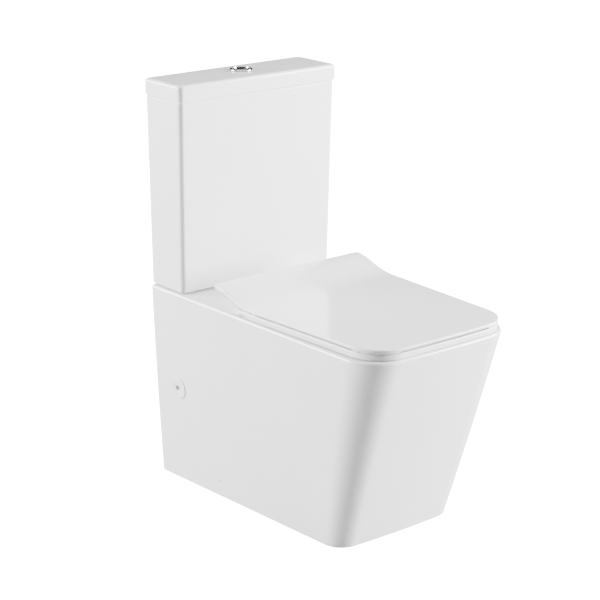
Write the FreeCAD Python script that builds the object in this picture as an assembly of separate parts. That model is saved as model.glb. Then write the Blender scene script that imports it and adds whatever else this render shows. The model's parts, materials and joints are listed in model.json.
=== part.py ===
import FreeCAD, Part
import math
import os

# Close coupled toilet, in millimetres. Z is up and the floor is Z = 0. The wall is the plane Y = WALL,
# the toilet faces -Y and its plane of symmetry is X = 0. Places along the toilet are given as a
# depth "d", measured forwards from the wall, because that is how a fitter measures them.

# ---- overall sizes ----
DEPTH = 670.0                 # wall to the front of the pan
WALL = DEPTH / 2.0            # Y of the wall plane
PAN_HEIGHT = 408.0            # floor to the top of the pan
CISTERN_GAP = 2.5             # pan deck to the cistern's underside
CISTERN_HEIGHT = 384.0        # cistern box, underside to rim
COVER_HEIGHT = 35.5           # cistern lid

# ---- pan, vitreous china ----
PAN_TOP_BACK_HALF = 192.0     # half width at the wall, top
PAN_TOP_FRONT_HALF = 181.0    # half width at the front corner, top
PAN_FLOOR_BACK_HALF = 174.0
PAN_FLOOR_FRONT_HALF = 146.0
PAN_SETBACK = 124.0           # how far the front slopes back from top to floor
PAN_BOW = 5.0                 # how far the front bulges forwards in its middle
PAN_LIP = 1.7                 # how far past DEPTH the front would reach if its top edge weren't rounded
PAN_TOP_CORNER = 72.0         # plan radius of the front corners
PAN_FLOOR_CORNER = 42.0
PAN_BACK_CORNER = 10.0
PAN_SWELL = 0.35              # how much the sides curve upright towards the top
PAN_EDGE = 5.0                # rounding of the top edge
CHINA = 12.0                  # skirt wall
DECK = 14.0                   # top plate
BOWL_WALL = 11.0
BOWL_HALF = 138.0             # bowl mouth
BOWL_BACK = 264.0
BOWL_RIM_FRONT = 40.0         # pan front to the bowl mouth
BOWL_CORNER = 88.0
BOWL_DEPTH = 226.0            # mouth to the lowest section of the bowl
BOWL_PROFILE = ((0.0, 0.0), (0.06, 0.05), (0.4, 0.2), (0.72, 0.62), (1.0, 1.0))  # share of depth, of taper
SUMP_HALF = 40.0
SUMP_CORNER = 30.0
SUMP_BACK = 318.0
SUMP_FRONT = 412.0
TRAP_BORE = 28.0              # radius of the trap's waterway
TRAP_WALL = 10.0
TRAP_BEND = 44.0              # centreline radius of its bends
TRAP_DIP_DROP = 252.0         # pan top to the centreline of the dip
TRAP_WEIR_DROP = 146.0        # pan top to the centreline of the weir
TRAP_START = 11.0             # how far past the sump's middle the centreline starts
TRAP_DROP = 39.0              # how far above the dip it starts
TRAP_OVERSHOOT = 10.0         # corners of the centreline beyond the dip and the weir
TRAP_RISE_RUN = 0.9           # depth per height, dip to weir
TRAP_FALL_RUN = 0.8           # depth per height, weir to outlet
OUTLET_DROP = 228.0           # pan top to the centre of the soil outlet
OUTLET_RADIUS = 51.0
OUTLET_BORE = 42.0
OUTLET_LENGTH = 60.0
OUTLET_SETBACK = 8.0          # wall to the end of the spigot
INLET_RECESS = 47.0           # radius of the flush inlet's recess
INLET_RECESS_DEPTH = 24.0
INLET_BORE = 27.0
DUCT_HALF = 48.0              # flush water duct under the deck
DUCT_HEIGHT = 24.0
DUCT_WALL = 8.0

# ---- cistern ----
CISTERN_TOP_HALF = 193.0
CISTERN_BOTTOM_HALF = 188.3
CISTERN_TOP_DEPTH = 120.0
CISTERN_BOTTOM_DEPTH = 110.0
CISTERN_CORNER = 10.0
CISTERN_INNER_CORNER = 4.0
CISTERN_WALL = 9.0
CISTERN_FLOOR = 12.0
CISTERN_EDGE = 4.0
CISTERN_BACK_TRIM = 1.0       # ground off its back, so that it is flat against the wall
COVER_LIP = 2.5               # how far the lid stands out past the cistern
COVER_FRONT_LIP = 4.0
COVER_PLATE = 12.0
COVER_SKIRT = 8.0
COVER_EDGE = 6.0
COVER_CORNER = 10.0
COVER_INNER_CORNER = 7.0
COVER_BOW = 1.0               # how far its front bulges forwards in its middle
COVER_FOOT_EDGE = 1.0         # rounding of its lower rim
COVER_SPIGOT = 6.0            # how far the locating lip hangs inside the cistern
COVER_SPIGOT_WALL = 4.0
COVER_SPIGOT_GAP = 2.0

# ---- flush button and push rods ----
VALVE_D = 59.0                # depth of the flush valve and button
BEZEL_RADIUS = 23.3
BEZEL_HEIGHT = 4.0
BEZEL_TAIL = 19.0             # radius of the threaded tail
BEZEL_TAIL_LENGTH = 24.0
BEZEL_BORE = 17.0
BEZEL_WEB = 2.5
BEZEL_HOLE_GAP = 0.6
BUTTON_GAP = 0.6              # button to bezel
BUTTON_SPLIT = 4.0            # X of the line between the two buttons
BUTTON_SLOT = 0.9
BUTTON_SINK = 1.0             # button top below the bezel top
BUTTON_THICKNESS = 9.0
BUTTON_TRAVEL = 8.0
FULL_ROD_X = -9.0
HALF_ROD_X = 11.0
ROD_RADIUS = 2.5
ROD_GAP = 0.7                 # rod to the web it passes through
SPRING_RADIUS = 3.6
SPRING_WIRE = 0.45
SPRING_TURNS = 5
BEZEL_NUT_RADIUS = 26.0
BEZEL_NUT_HEIGHT = 8.0

# ---- flush valve ----
VALVE_TAIL = 29.0
VALVE_BORE = 25.0
VALVE_TAIL_LENGTH = 33.0
VALVE_FLANGE = 39.0
VALVE_FLANGE_HEIGHT = 6.0
VALVE_SEAT_WALL = 2.0
VALVE_SEAT_HEIGHT = 2.5
VALVE_HOLE_GAP = 2.5
GASKET = 3.0                  # thickness of the rubber washers inside the cistern
BACKNUT_HEIGHT = 10.0
BACKNUT_WALL = 8.0
SEAL_RADIUS = 30.0
SEAL_HEIGHT = 4.0
LIFT_TUBE = 16.0
LIFT_TUBE_BORE = 13.0
LIFT_TUBE_COLLAR = 24.0
LIFT_TUBE_COLLAR_HEIGHT = 4.0
TOWER_LEG = 5.0
TOWER_LEG_RADIUS = 34.0
TOWER_PLATE_Z = 218.0         # cistern floor to the underside of the tower's top plate
TOWER_PLATE = 6.0
TOWER_PLATE_HALF = 40.0
TOWER_HOLE_GAP = 1.0
ROCKER_PIVOT_X = 30.0
ROCKER_REACH = 20.0           # pivot to the lifting end
ROCKER_RISE = 11.0            # top plate to the rocker's axis
ROCKER_WIDTH = 10.0
ROCKER_END = 3.0
ROCKER_PIN = 2.0
PIN_GAP = 0.05
SIDE_GAP = 1.0                # rocker or lever to its cheeks
CHEEK = 4.0
PRESS_GAP = 0.5               # rod end to rocker, and rocker to yoke
HALF_YOKE_GAP = 9.5           # half flush rocker to its hook, so it can rise without lifting
YOKE_WIDTH = 10.0
YOKE_BAR = 6.0
YOKE_STRIP = 4.0
YOKE_HOOK = 3.5
YOKE_DROP = 22.0              # tower plate to the top of the yoke's bar

# ---- fill valve ----
FILL_X = -132.0
FILL_TAIL = 10.3              # half-inch pipe thread
FILL_BORE = 6.0
FILL_TAIL_LENGTH = 52.0
FILL_RELIEF = 2.0             # groove between the backnut's thread and the supply connector's
FILL_RELIEF_DEPTH = 1.2
FILL_HOLE_GAP = 0.9
FILL_FLANGE = 19.0
FILL_FLANGE_HEIGHT = 6.0
FILL_STEM = 9.0
FILL_STEM_HEIGHT = 220.0
FILL_HEAD = 18.0
FILL_HEAD_HEIGHT = 22.0
FILL_NUT_WALL = 6.5
FLOAT_RADIUS = 29.0
FLOAT_HEIGHT = 65.0
FLOAT_EDGE = 3.0
FLOAT_WALL = 2.5
FLOAT_DROP = 26.0             # head to the float's top, at rest
FLOAT_GAP = 1.5
LINK_X = 24.0                 # float's link rod from the stem's axis
LINK_RADIUS = 1.5
LINK_COLLAR = 4.0
LINK_COLLAR_GAP = 3.0
LEVER_RISE = 8.0
LEVER_THICKNESS = 4.0
LEVER_WIDTH = 8.0
LEVER_PIN = 1.5
FILL_DECK_HOLE = 22.0

# ---- coupling of cistern and pan ----
COUPLING_X = 75.0
COUPLING_BOLT = 4.0
COUPLING_BOLT_LENGTH = 74.0
COUPLING_HOLE_GAP = 1.5
COUPLING_HEAD = 8.0
COUPLING_HEAD_HEIGHT = 5.0
COUPLING_WASHER = 12.5
COUPLING_CUSHION = 14.0
STEEL_WASHER = 1.5
WING_NUT = 7.5
WING_NUT_HEIGHT = 9.0
WING_SPAN = 13.5
WING_THICKNESS = 2.5
DONUT_GAP = 1.0

# ---- seat and lid ----
SEAT_SETBACK = 0.0            # seat lid's front behind the pan's front
SEAT_HALF = 184.5
SEAT_FRONT_HALF = 169.0
SEAT_SHOULDER_D = 330.0       # where the straight sides start to close in
SEAT_SHOULDER_ROUND = 500.0
SEAT_CORNER = 70.0
SEAT_BOW = 4.6
LID_BACK_D = 205.0
LID_BACK_CORNER = 9.0
LID_THICKNESS = 8.0
LID_RISE = 24.0               # how far the lid's back sweeps up
LID_SWEEP = 128.0             # length of that sweep
LID_RUN_OUT = 6.0             # the sweep levels out this far behind the lid's back edge
LID_GAP = 1.6                 # seat to lid
LID_EDGE = 2.6
RING_INSET = 1.2
RING_THICKNESS = 10.6
RING_BACK_D = 242.0
RING_BACK_CORNER = 46.0
RING_GAP = 2.2                # pan to seat
RING_EDGE = 2.6
RING_MOUTH_EDGE = 3.9
RING_MOUTH_HALF = 108.0
RING_MOUTH_BACK = 300.0
RING_MOUTH_FRONT = 66.0       # seat front to the mouth
RING_MOUTH_CORNER = 84.0
HINGE_D = 215.0
HINGE_RISE = 20.0             # pan deck to the hinge axis
HINGE_X = 77.5
HINGE_PIN = 5.0
HINGE_PIN_REACH = 33.0        # post centre to each end of its pin
HINGE_BARREL = 9.0
HINGE_POST = 8.0
HINGE_PLATE = 16.0
HINGE_PLATE_THICKNESS = 3.0
HINGE_SIDE_GAP = 1.0
SEAT_BOLT = 4.0
SEAT_BOLT_LENGTH = 58.0
SEAT_HOLE_GAP = 2.5
CONE_WASHER = 11.0
CONE_WASHER_HEIGHT = 8.0
BUFFER = 7.0
LID_BUFFER = 5.5
SEAT_BUFFER_PLACES = ((162.0, 340.0), (157.0, 560.0))
LID_BUFFER_PLACES = ((128.0, 350.0), (124.0, 560.0))

# ---- side fixings ----
CAP_D = 79.0
CAP_Z = 204.0
CAP_RADIUS = 23.3
CAP_FLANGE = 2.6
CAP_EDGE = 1.2
CAP_BARREL = 19.0
CAP_BARREL_LENGTH = 16.0
CAP_HOLE_GAP = 0.8
CAP_RECESS = 5.6
CAP_RECESS_DEPTH = 8.0
SPOT_FACE = 0.8
CAP_SCREW_HEAD = 4.6
CAP_SCREW_HEAD_HEIGHT = 3.0
CAP_SCREW = 2.5
CAP_SCREW_LENGTH = 30.0
WALL_BRACKET_X = 152.0
WALL_BRACKET_HALF = 22.0
BRACKET = 3.0
WALL_BRACKET_REACH = 96.0
WALL_BRACKET_FOOT = 46.0
BRACKET_HOLE = 3.5
BRACKET_HOLE_SPACING = 24.0
SIDE_SCREW_D = 195.0
SIDE_SCREW_Z = 34.0
SIDE_HOLE = 4.2
SIDE_HOLE_DEPTH = 7.0
SIDE_SCREW_HEAD = 3.7
SIDE_SCREW_HEAD_HEIGHT = 2.5
SLOT_DEPTH = 1.2              # screwdriver slot in a screw head
SLOT_WIDTH = 1.1
SIDE_SCREW = 2.0
SIDE_SCREW_LENGTH = 17.0
FLOOR_BRACKET_HALF = 20.0
FLOOR_BRACKET_HEIGHT = 62.0
FLOOR_BRACKET_FOOT = 46.0
FLOOR_BRACKET_GAP = 1.0

# ---- levels that follow from the sizes above ----
CISTERN_Z = PAN_HEIGHT + CISTERN_GAP
CISTERN_FLOOR_Z = CISTERN_Z + CISTERN_FLOOR
COVER_Z = CISTERN_Z + CISTERN_HEIGHT
COVER_TOP_Z = COVER_Z + COVER_HEIGHT
PLATE_UNDER_Z = COVER_TOP_Z - COVER_PLATE
BUTTON_TOP_Z = COVER_TOP_Z + BEZEL_HEIGHT - BUTTON_SINK
BUTTON_UNDER_Z = BUTTON_TOP_Z - BUTTON_THICKNESS
WEB_Z = COVER_TOP_Z - BEZEL_TAIL_LENGTH
VALVE_FLANGE_Z = CISTERN_FLOOR_Z + GASKET
VALVE_SEAT_Z = VALVE_FLANGE_Z + VALVE_FLANGE_HEIGHT + VALVE_SEAT_HEIGHT
TOWER_Z = CISTERN_FLOOR_Z + TOWER_PLATE_Z
ROCKER_Z = TOWER_Z + TOWER_PLATE + ROCKER_RISE
ROD_END_Z = ROCKER_Z + ROCKER_END + PRESS_GAP
FILL_HEAD_Z = VALVE_FLANGE_Z + FILL_FLANGE_HEIGHT + FILL_STEM_HEIGHT
LEVER_Z = FILL_HEAD_Z + FILL_HEAD_HEIGHT + LEVER_RISE
FLOAT_TOP_Z = FILL_HEAD_Z - FLOAT_DROP
RING_Z = PAN_HEIGHT + RING_GAP
LID_Z = RING_Z + RING_THICKNESS + LID_GAP
HINGE_Z = PAN_HEIGHT + HINGE_RISE
DECK_UNDER_Z = PAN_HEIGHT - DECK
TRAP_DIP = PAN_HEIGHT - TRAP_DIP_DROP
TRAP_WEIR = PAN_HEIGHT - TRAP_WEIR_DROP
OUTLET_HEIGHT = PAN_HEIGHT - OUTLET_DROP
RECESS_Z = PAN_HEIGHT - INLET_RECESS_DEPTH
DUCT_TOP_Z = RECESS_Z - DUCT_WALL
DUCT_Z = DUCT_TOP_Z - DUCT_HEIGHT
REACH = 3.0 * DEPTH           # longer than anything it has to cut
MARGIN = 40.0                 # how far a cutting shape runs past what it cuts


# ---------------------------------------------------------------- small geometry helpers
def at(x, d, z):
    """The point X, depth from the wall, height."""
    return FreeCAD.Vector(x, WALL - d, z)


def block(x0, x1, d0, d1, z0, z1):
    """A box between two X values, two depths and two heights."""
    return Part.makeBox(x1 - x0, d1 - d0, z1 - z0, at(x0, d1, z0))


def disc(x, d, z0, z1, radius):
    """An upright cylinder between two heights."""
    return Part.makeCylinder(radius, z1 - z0, at(x, d, z0))


def ring(x, d, z0, z1, radius, bore):
    """An upright tube between two heights."""
    return disc(x, d, z0, z1, radius).cut(disc(x, d, z0 - 1.0, z1 + 1.0, bore))


def bar_x(x0, x1, d, z, radius):
    """A round bar along X."""
    return Part.makeCylinder(radius, x1 - x0, at(x0, d, z), FreeCAD.Vector(1, 0, 0))


def bar_d(x, d0, d1, z, radius):
    """A round bar along the depth."""
    return Part.makeCylinder(radius, d1 - d0, at(x, d0, z), FreeCAD.Vector(0, -1, 0))


def hexagon(x, d, z0, z1, radius):
    """An upright hexagonal prism, radius to its corners."""
    turns = [math.radians(60 * i) for i in range(7)]
    corners = [at(x + radius * math.cos(turn), d + radius * math.sin(turn), z0) for turn in turns]
    return Part.Face(Part.makePolygon(corners)).extrude(FreeCAD.Vector(0, 0, z1 - z0))


def other_side(shape):
    """The same piece on the other side of X = 0."""
    return shape.mirror(FreeCAD.Vector(0, 0, 0), FreeCAD.Vector(1, 0, 0))


def both_sides(shape):
    """Two separate pieces, left and right."""
    return Part.Compound([shape, other_side(shape)])


def joined(shapes):
    """One solid from shapes that touch or overlap."""
    return shapes[0].multiFuse(shapes[1:]).removeSplitter()


def rounded(shape, radius, picks):
    """Rounds the edges that the test picks."""
    edges = [edge for edge in shape.Edges if picks(edge)]
    return shape.makeFillet(radius, edges)


def level(edge, z, slack=0.01):
    """True for an edge that lies at one height."""
    return abs(edge.BoundBox.ZMin - z) < slack and abs(edge.BoundBox.ZMax - z) < slack


def corner_arc(before, corner, after, radius):
    """Start, middle and end of the arc that rounds a corner between two straight runs."""
    back = (before - corner).normalize()
    on = (after - corner).normalize()
    half_angle = math.acos(max(-1.0, min(1.0, back.dot(on)))) / 2.0
    reach = radius / math.tan(half_angle)
    centre = corner + (back + on).normalize() * (radius / math.sin(half_angle))
    middle = centre + (corner - centre).normalize() * radius
    return corner + back * reach, middle, corner + on * reach


def bowed_corner_arc(before, corner, bow, radius):
    """Start, middle and end of the arc that rounds a side into a front that bulges by bow."""
    front_radius = (corner.x ** 2 + bow ** 2) / (2.0 * bow)
    front_centre = FreeCAD.Vector(0, corner.y + bow - front_radius, 0)
    along = (corner - before).normalize()
    inward = FreeCAD.Vector(-along.y, along.x, 0)
    start = before + inward * radius - front_centre
    b = start.dot(along)
    c = start.dot(start) - (front_radius - radius) ** 2
    centre = front_centre + start + along * (-b + math.sqrt(b * b - c))
    first = centre - inward * radius
    last = front_centre + (centre - front_centre).normalize() * front_radius
    outwards = ((first - centre) + (last - centre)).normalize()
    return first, centre + outwards * radius, last


def outline(z, sides, radii, corner_radius, bow):
    """A closed outline, symmetric about X = 0: straight back, sides through the given points, bowed front.

    sides are (x, d) from the back corner to the front corner; radii round all but the last of them.
    """
    points = [FreeCAD.Vector(x, d, 0) for x, d in sides]
    chain = [FreeCAD.Vector(0, points[0].y, 0)] + points
    arcs = [corner_arc(chain[i], chain[i + 1], chain[i + 2], radii[i]) for i in range(len(radii))]
    arcs.append(bowed_corner_arc(chain[-2], chain[-1], bow, corner_radius))

    def place(point, side):
        return at(side * point.x, point.y, z)

    edges = []
    for k, (start, middle, end) in enumerate(arcs):
        edges.append(Part.Arc(place(start, 1), place(middle, 1), place(end, 1)).toShape())
        if k + 1 < len(arcs):
            edges.append(Part.LineSegment(place(end, 1), place(arcs[k + 1][0], 1)).toShape())
    last = arcs[-1][2]
    edges.append(Part.Arc(place(last, 1), at(0, points[-1].y + bow, z), place(last, -1)).toShape())
    for k in range(len(arcs) - 1, -1, -1):
        start, middle, end = arcs[k]
        edges.append(Part.Arc(place(end, -1), place(middle, -1), place(start, -1)).toShape())
        if k > 0:
            edges.append(Part.LineSegment(place(start, -1), place(arcs[k - 1][2], -1)).toShape())
    edges.append(Part.LineSegment(place(arcs[0][0], -1), place(arcs[0][0], 1)).toShape())
    return Part.Wire(edges)


def prism(wire, height):
    """The solid above a flat outline."""
    return Part.Face(wire).extrude(FreeCAD.Vector(0, 0, height))


def pipe(points, radius, bend):
    """A round bar along straight runs in the plane X = 0, joined by tangent arcs."""
    edges = []
    here = points[0]
    for i in range(1, len(points) - 1):
        start, middle, end = corner_arc(points[i - 1], points[i], points[i + 1], bend)
        edges.append(Part.LineSegment(here, start).toShape())
        edges.append(Part.Arc(start, middle, end).toShape())
        here = end
    edges.append(Part.LineSegment(here, points[-1]).toShape())
    path = Part.Wire(edges)
    section = Part.Wire(Part.makeCircle(radius, points[0], points[1] - points[0]))
    return path.makePipeShell([section], True, False)


def between(low, high, share):
    """The value that lies the given share of the way from low to high."""
    return low + (high - low) * share


# ---------------------------------------------------------------- pan
def pan_half(z, at_back):
    """Half width of the skirt at the wall, or at the front corner, at a height."""
    share = z / PAN_HEIGHT
    share += PAN_SWELL * share * (1.0 - share)
    if at_back:
        return between(PAN_FLOOR_BACK_HALF, PAN_TOP_BACK_HALF, share)
    return between(PAN_FLOOR_FRONT_HALF, PAN_TOP_FRONT_HALF, share)


def pan_front(z):
    """Depth of the skirt's front corner at a height."""
    return DEPTH + PAN_LIP - PAN_BOW - (PAN_SETBACK + PAN_LIP) * (1.0 - z / PAN_HEIGHT)


def pan_outline(z, inset, back_d, back_corner):
    """Skirt outline at a height, moved in by inset, with its back edge at a depth."""
    front = pan_front(z) - inset
    corner = between(PAN_FLOOR_CORNER, PAN_TOP_CORNER, z / PAN_HEIGHT) - inset
    sides = [(pan_half(z, True) - inset, back_d), (pan_half(z, False) - inset, front)]
    return outline(z, sides, [back_corner], corner, PAN_BOW)


def side_x(d, z):
    """X of the skirt's outer face at a depth and height."""
    return between(pan_half(z, True), pan_half(z, False), d / pan_front(z))


def on_side(shape, d, z):
    """Moves a piece made along +X at the origin on to the right side of the skirt, square to its face."""
    step = 1.0
    along = at(side_x(d + step, z), d + step, z) - at(side_x(d, z), d, z)
    up = at(side_x(d, z + step), d, z + step) - at(side_x(d, z), d, z)
    normal = up.cross(along).normalize()
    if normal.x < 0:
        normal = normal * -1.0
    turn = FreeCAD.Rotation(FreeCAD.Vector(1, 0, 0), normal)
    placed = shape.copy()
    placed.Placement = FreeCAD.Placement(at(side_x(d, z), d, z), turn)
    return placed


def bar_u(u0, u1, radius):
    """A round bar along +X at the origin, for on_side."""
    return Part.makeCylinder(radius, u1 - u0, FreeCAD.Vector(u0, 0, 0), FreeCAD.Vector(1, 0, 0))


def bowl(grow):
    """The bowl's inside, or with grow its outside: five rounded sections from the mouth to the sump."""
    mouth_front = DEPTH - BOWL_RIM_FRONT
    sections = []
    for drop, share in BOWL_PROFILE:
        half = between(BOWL_HALF, SUMP_HALF, share) + grow
        back = between(BOWL_BACK, SUMP_BACK, share) - grow
        front = between(mouth_front, SUMP_FRONT, share) + grow - PAN_BOW
        corner = between(BOWL_CORNER, SUMP_CORNER, share) + grow
        z = PAN_HEIGHT - BOWL_DEPTH * drop - (grow if drop == 1.0 else 0.0)
        sections.append(outline(z, [(half, back), (half, front)], [corner], corner, PAN_BOW))
    return Part.makeLoft(sections, True)


def trap_path():
    """Centreline of the trap: out of the sump, down to the dip, over the weir and down to the outlet."""
    start_d = (SUMP_BACK + SUMP_FRONT) / 2.0 + TRAP_START
    dip_d = SUMP_BACK - TRAP_START
    weir_d = dip_d - (TRAP_WEIR - TRAP_DIP) * TRAP_RISE_RUN
    fall_d = weir_d - (TRAP_WEIR - OUTLET_HEIGHT) * TRAP_FALL_RUN
    return [
        at(0, start_d, TRAP_DIP + TRAP_DROP),
        at(0, dip_d, TRAP_DIP - TRAP_OVERSHOOT),
        at(0, weir_d, TRAP_WEIR + TRAP_OVERSHOOT),
        at(0, fall_d, OUTLET_HEIGHT),
        at(0, OUTLET_SETBACK, OUTLET_HEIGHT),
    ]


def pan_envelope():
    """The pan as if it were solid, with its top edge rounded."""
    heights = [PAN_HEIGHT * i / 3.0 for i in range(4)]
    solid = Part.makeLoft([pan_outline(z, 0.0, 0.0, PAN_BACK_CORNER) for z in heights], True)
    return rounded(solid, PAN_EDGE, lambda edge: level(edge, PAN_HEIGHT))


def trap_outside():
    """The outside of the trap and of the soil spigot that it ends in."""
    spigot = bar_d(0, OUTLET_SETBACK, OUTLET_SETBACK + OUTLET_LENGTH, OUTLET_HEIGHT, OUTLET_RADIUS)
    return joined([pipe(trap_path(), TRAP_BORE + TRAP_WALL, TRAP_BEND), spigot])


def trap_inside():
    """The waterway through the trap and the spigot."""
    mouth_end = OUTLET_SETBACK + OUTLET_LENGTH - TRAP_WALL
    mouth = bar_d(0, OUTLET_SETBACK - 1.0, mouth_end, OUTLET_HEIGHT, OUTLET_BORE)
    return joined([pipe(trap_path(), TRAP_BORE, TRAP_BEND), mouth])


def duct_outside():
    """The outside of the duct that takes the flush from the inlet to the bowl, under the deck."""
    half = DUCT_HALF + DUCT_WALL
    return block(-half, half, VALVE_D - INLET_RECESS - DUCT_WALL, BOWL_BACK, DUCT_Z - DUCT_WALL, DECK_UNDER_Z)


def make_pan():
    """Skirt and deck, open underneath and at the back, with the deck cut out for the bowl."""
    inner_heights = [-1.0] + [DECK_UNDER_Z * i / 3.0 for i in (1, 2, 3)]
    hollow = Part.makeLoft([pan_outline(z, CHINA, -CHINA, 1.0) for z in inner_heights], True)
    over = PAN_HEIGHT + 1.0
    cuts = [hollow,
            bowl(BOWL_WALL),
            disc(0, VALVE_D, DECK_UNDER_Z - 1.0, over, INLET_RECESS),
            disc(FILL_X, VALVE_D, DECK_UNDER_Z - 1.0, over, FILL_DECK_HOLE)]
    pairs = [disc(COUPLING_X, VALVE_D, DECK_UNDER_Z - 1.0, over, COUPLING_BOLT + COUPLING_HOLE_GAP),
             disc(HINGE_X, HINGE_D, DECK_UNDER_Z - 1.0, over, SEAT_BOLT + SEAT_HOLE_GAP),
             on_side(bar_u(-SPOT_FACE, CHINA, CAP_RADIUS + CAP_HOLE_GAP), CAP_D, CAP_Z),
             on_side(bar_u(-2.0 * CHINA, CHINA, CAP_BARREL + CAP_HOLE_GAP), CAP_D, CAP_Z),
             on_side(bar_u(-SIDE_HOLE_DEPTH, CHINA, SIDE_HOLE), SIDE_SCREW_D, SIDE_SCREW_Z),
             on_side(bar_u(-2.0 * CHINA, 0.0, SIDE_SCREW), SIDE_SCREW_D, SIDE_SCREW_Z)]
    body = pan_envelope()
    for hole in cuts + pairs + [other_side(hole) for hole in pairs]:
        body = body.cut(hole)
    return body


def make_bowl():
    """The bowl and its sump, up to the top of the deck."""
    body = bowl(BOWL_WALL).common(pan_envelope()).cut(bowl(0.0)).cut(trap_inside())
    return body.cut(block(-DUCT_HALF, DUCT_HALF, BOWL_BACK - 2.0 * BOWL_WALL, BOWL_BACK + BOWL_WALL,
                          DUCT_Z, DUCT_TOP_Z))


def make_trapway():
    """The trap from the bowl's outside to the soil spigot."""
    return trap_outside().cut(bowl(BOWL_WALL)).cut(trap_inside())


def make_flush_duct():
    """The duct under the deck, with the inlet's recess and bore in its roof."""
    body = duct_outside().cut(bowl(BOWL_WALL))
    body = body.cut(block(-DUCT_HALF, DUCT_HALF, VALVE_D - INLET_BORE, BOWL_BACK, DUCT_Z, DUCT_TOP_Z))
    body = body.cut(disc(0, VALVE_D, RECESS_Z, DECK_UNDER_Z + 1.0, INLET_RECESS))
    return body.cut(disc(0, VALVE_D, DUCT_TOP_Z - 1.0, RECESS_Z + 1.0, INLET_BORE))


# ---------------------------------------------------------------- cistern and its lid
def cistern_outline(z, inset, back_d):
    """Cistern outline at a height, moved in by inset."""
    share = (z - CISTERN_Z) / CISTERN_HEIGHT
    half = between(CISTERN_BOTTOM_HALF, CISTERN_TOP_HALF, share) - inset
    front = between(CISTERN_BOTTOM_DEPTH, CISTERN_TOP_DEPTH, share) - inset
    corner = max(CISTERN_CORNER - inset, CISTERN_INNER_CORNER)
    return outline(z, [(half, back_d), (half, front - COVER_BOW)], [corner], corner, COVER_BOW)


def make_cistern():
    outside = [cistern_outline(z, 0.0, -CISTERN_BACK_TRIM) for z in (CISTERN_Z, COVER_Z)]
    inside = [cistern_outline(z, CISTERN_WALL, CISTERN_WALL) for z in (CISTERN_FLOOR_Z, COVER_Z + 1.0)]
    shell = rounded(Part.makeLoft(outside, True, True), CISTERN_EDGE, lambda edge: level(edge, CISTERN_Z))
    shell = shell.cut(block(-REACH, REACH, -MARGIN, 0.0, 0.0, REACH))
    shell = shell.cut(Part.makeLoft(inside, True, True))
    holes = ((0.0, VALVE_TAIL + VALVE_HOLE_GAP),
             (FILL_X, FILL_TAIL + FILL_HOLE_GAP),
             (-COUPLING_X, COUPLING_BOLT + COUPLING_HOLE_GAP),
             (COUPLING_X, COUPLING_BOLT + COUPLING_HOLE_GAP))
    for x, radius in holes:
        shell = shell.cut(disc(x, VALVE_D, CISTERN_Z - 1.0, CISTERN_FLOOR_Z + 1.0, radius))
    return shell


def cover_outline(z, half, back_d, front_d, corner):
    """Rectangle with rounded corners and a slightly bowed front."""
    return outline(z, [(half, back_d), (half, front_d - COVER_BOW)], [corner], corner, COVER_BOW)


def make_cistern_lid():
    half = CISTERN_TOP_HALF + COVER_LIP
    front = CISTERN_TOP_DEPTH + COVER_FRONT_LIP
    slab = prism(cover_outline(COVER_Z, half, 0.0, front, COVER_CORNER), COVER_HEIGHT)
    slab = rounded(slab, COVER_EDGE, lambda edge: level(edge, COVER_TOP_Z))
    slab = rounded(slab, COVER_FOOT_EDGE, lambda edge: level(edge, COVER_Z))
    hollow_plan = cover_outline(COVER_Z - 1.0, half - COVER_SKIRT, COVER_SKIRT, front - COVER_SKIRT,
                                COVER_INNER_CORNER)
    slab = slab.cut(prism(hollow_plan, COVER_HEIGHT - COVER_PLATE + 1.0))
    inset = CISTERN_WALL + COVER_SPIGOT_GAP
    lip_half = CISTERN_TOP_HALF - inset
    lip_front = CISTERN_TOP_DEPTH - inset
    lip_z = COVER_Z - COVER_SPIGOT
    lip_height = PLATE_UNDER_Z + 1.0 - lip_z
    lip = prism(cover_outline(lip_z, lip_half, inset, lip_front, COVER_INNER_CORNER), lip_height)
    wall = COVER_SPIGOT_WALL
    lip_hollow = cover_outline(lip_z - 1.0, lip_half - wall, inset + wall, lip_front - wall,
                               COVER_INNER_CORNER - wall / 2.0)
    lip = lip.cut(prism(lip_hollow, lip_height + 2.0))
    lid = joined([slab, lip])
    return lid.cut(disc(0, VALVE_D, PLATE_UNDER_Z - 1.0, COVER_TOP_Z + 1.0, BEZEL_TAIL + BEZEL_HOLE_GAP))


# ---------------------------------------------------------------- flush button
def make_button_bezel():
    top = COVER_TOP_Z + BEZEL_HEIGHT
    flange = disc(0, VALVE_D, COVER_TOP_Z, top, BEZEL_RADIUS)
    flange = rounded(flange, BEZEL_HEIGHT * 0.6, lambda edge: level(edge, top))
    body = joined([flange, disc(0, VALVE_D, WEB_Z, COVER_TOP_Z, BEZEL_TAIL)])
    body = body.cut(disc(0, VALVE_D, WEB_Z + BEZEL_WEB, top + 1.0, BEZEL_BORE))
    for x in (FULL_ROD_X, HALF_ROD_X):
        body = body.cut(disc(x, VALVE_D, WEB_Z - 1.0, WEB_Z + BEZEL_WEB + 1.0, ROD_RADIUS + ROD_GAP))
    return body


def make_button_nut():
    under = PLATE_UNDER_Z - BEZEL_NUT_HEIGHT
    nut = disc(0, VALVE_D, under, PLATE_UNDER_Z, BEZEL_NUT_RADIUS)
    for turn in range(6):
        angle = math.radians(60 * turn)
        x = BEZEL_NUT_RADIUS * math.cos(angle)
        d = VALVE_D + BEZEL_NUT_RADIUS * math.sin(angle)
        nut = nut.cut(disc(x, d, under - 1.0, PLATE_UNDER_Z + 1.0, CHEEK))
    return nut.cut(disc(0, VALVE_D, under - 1.0, PLATE_UNDER_Z + 1.0, BEZEL_TAIL))


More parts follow.
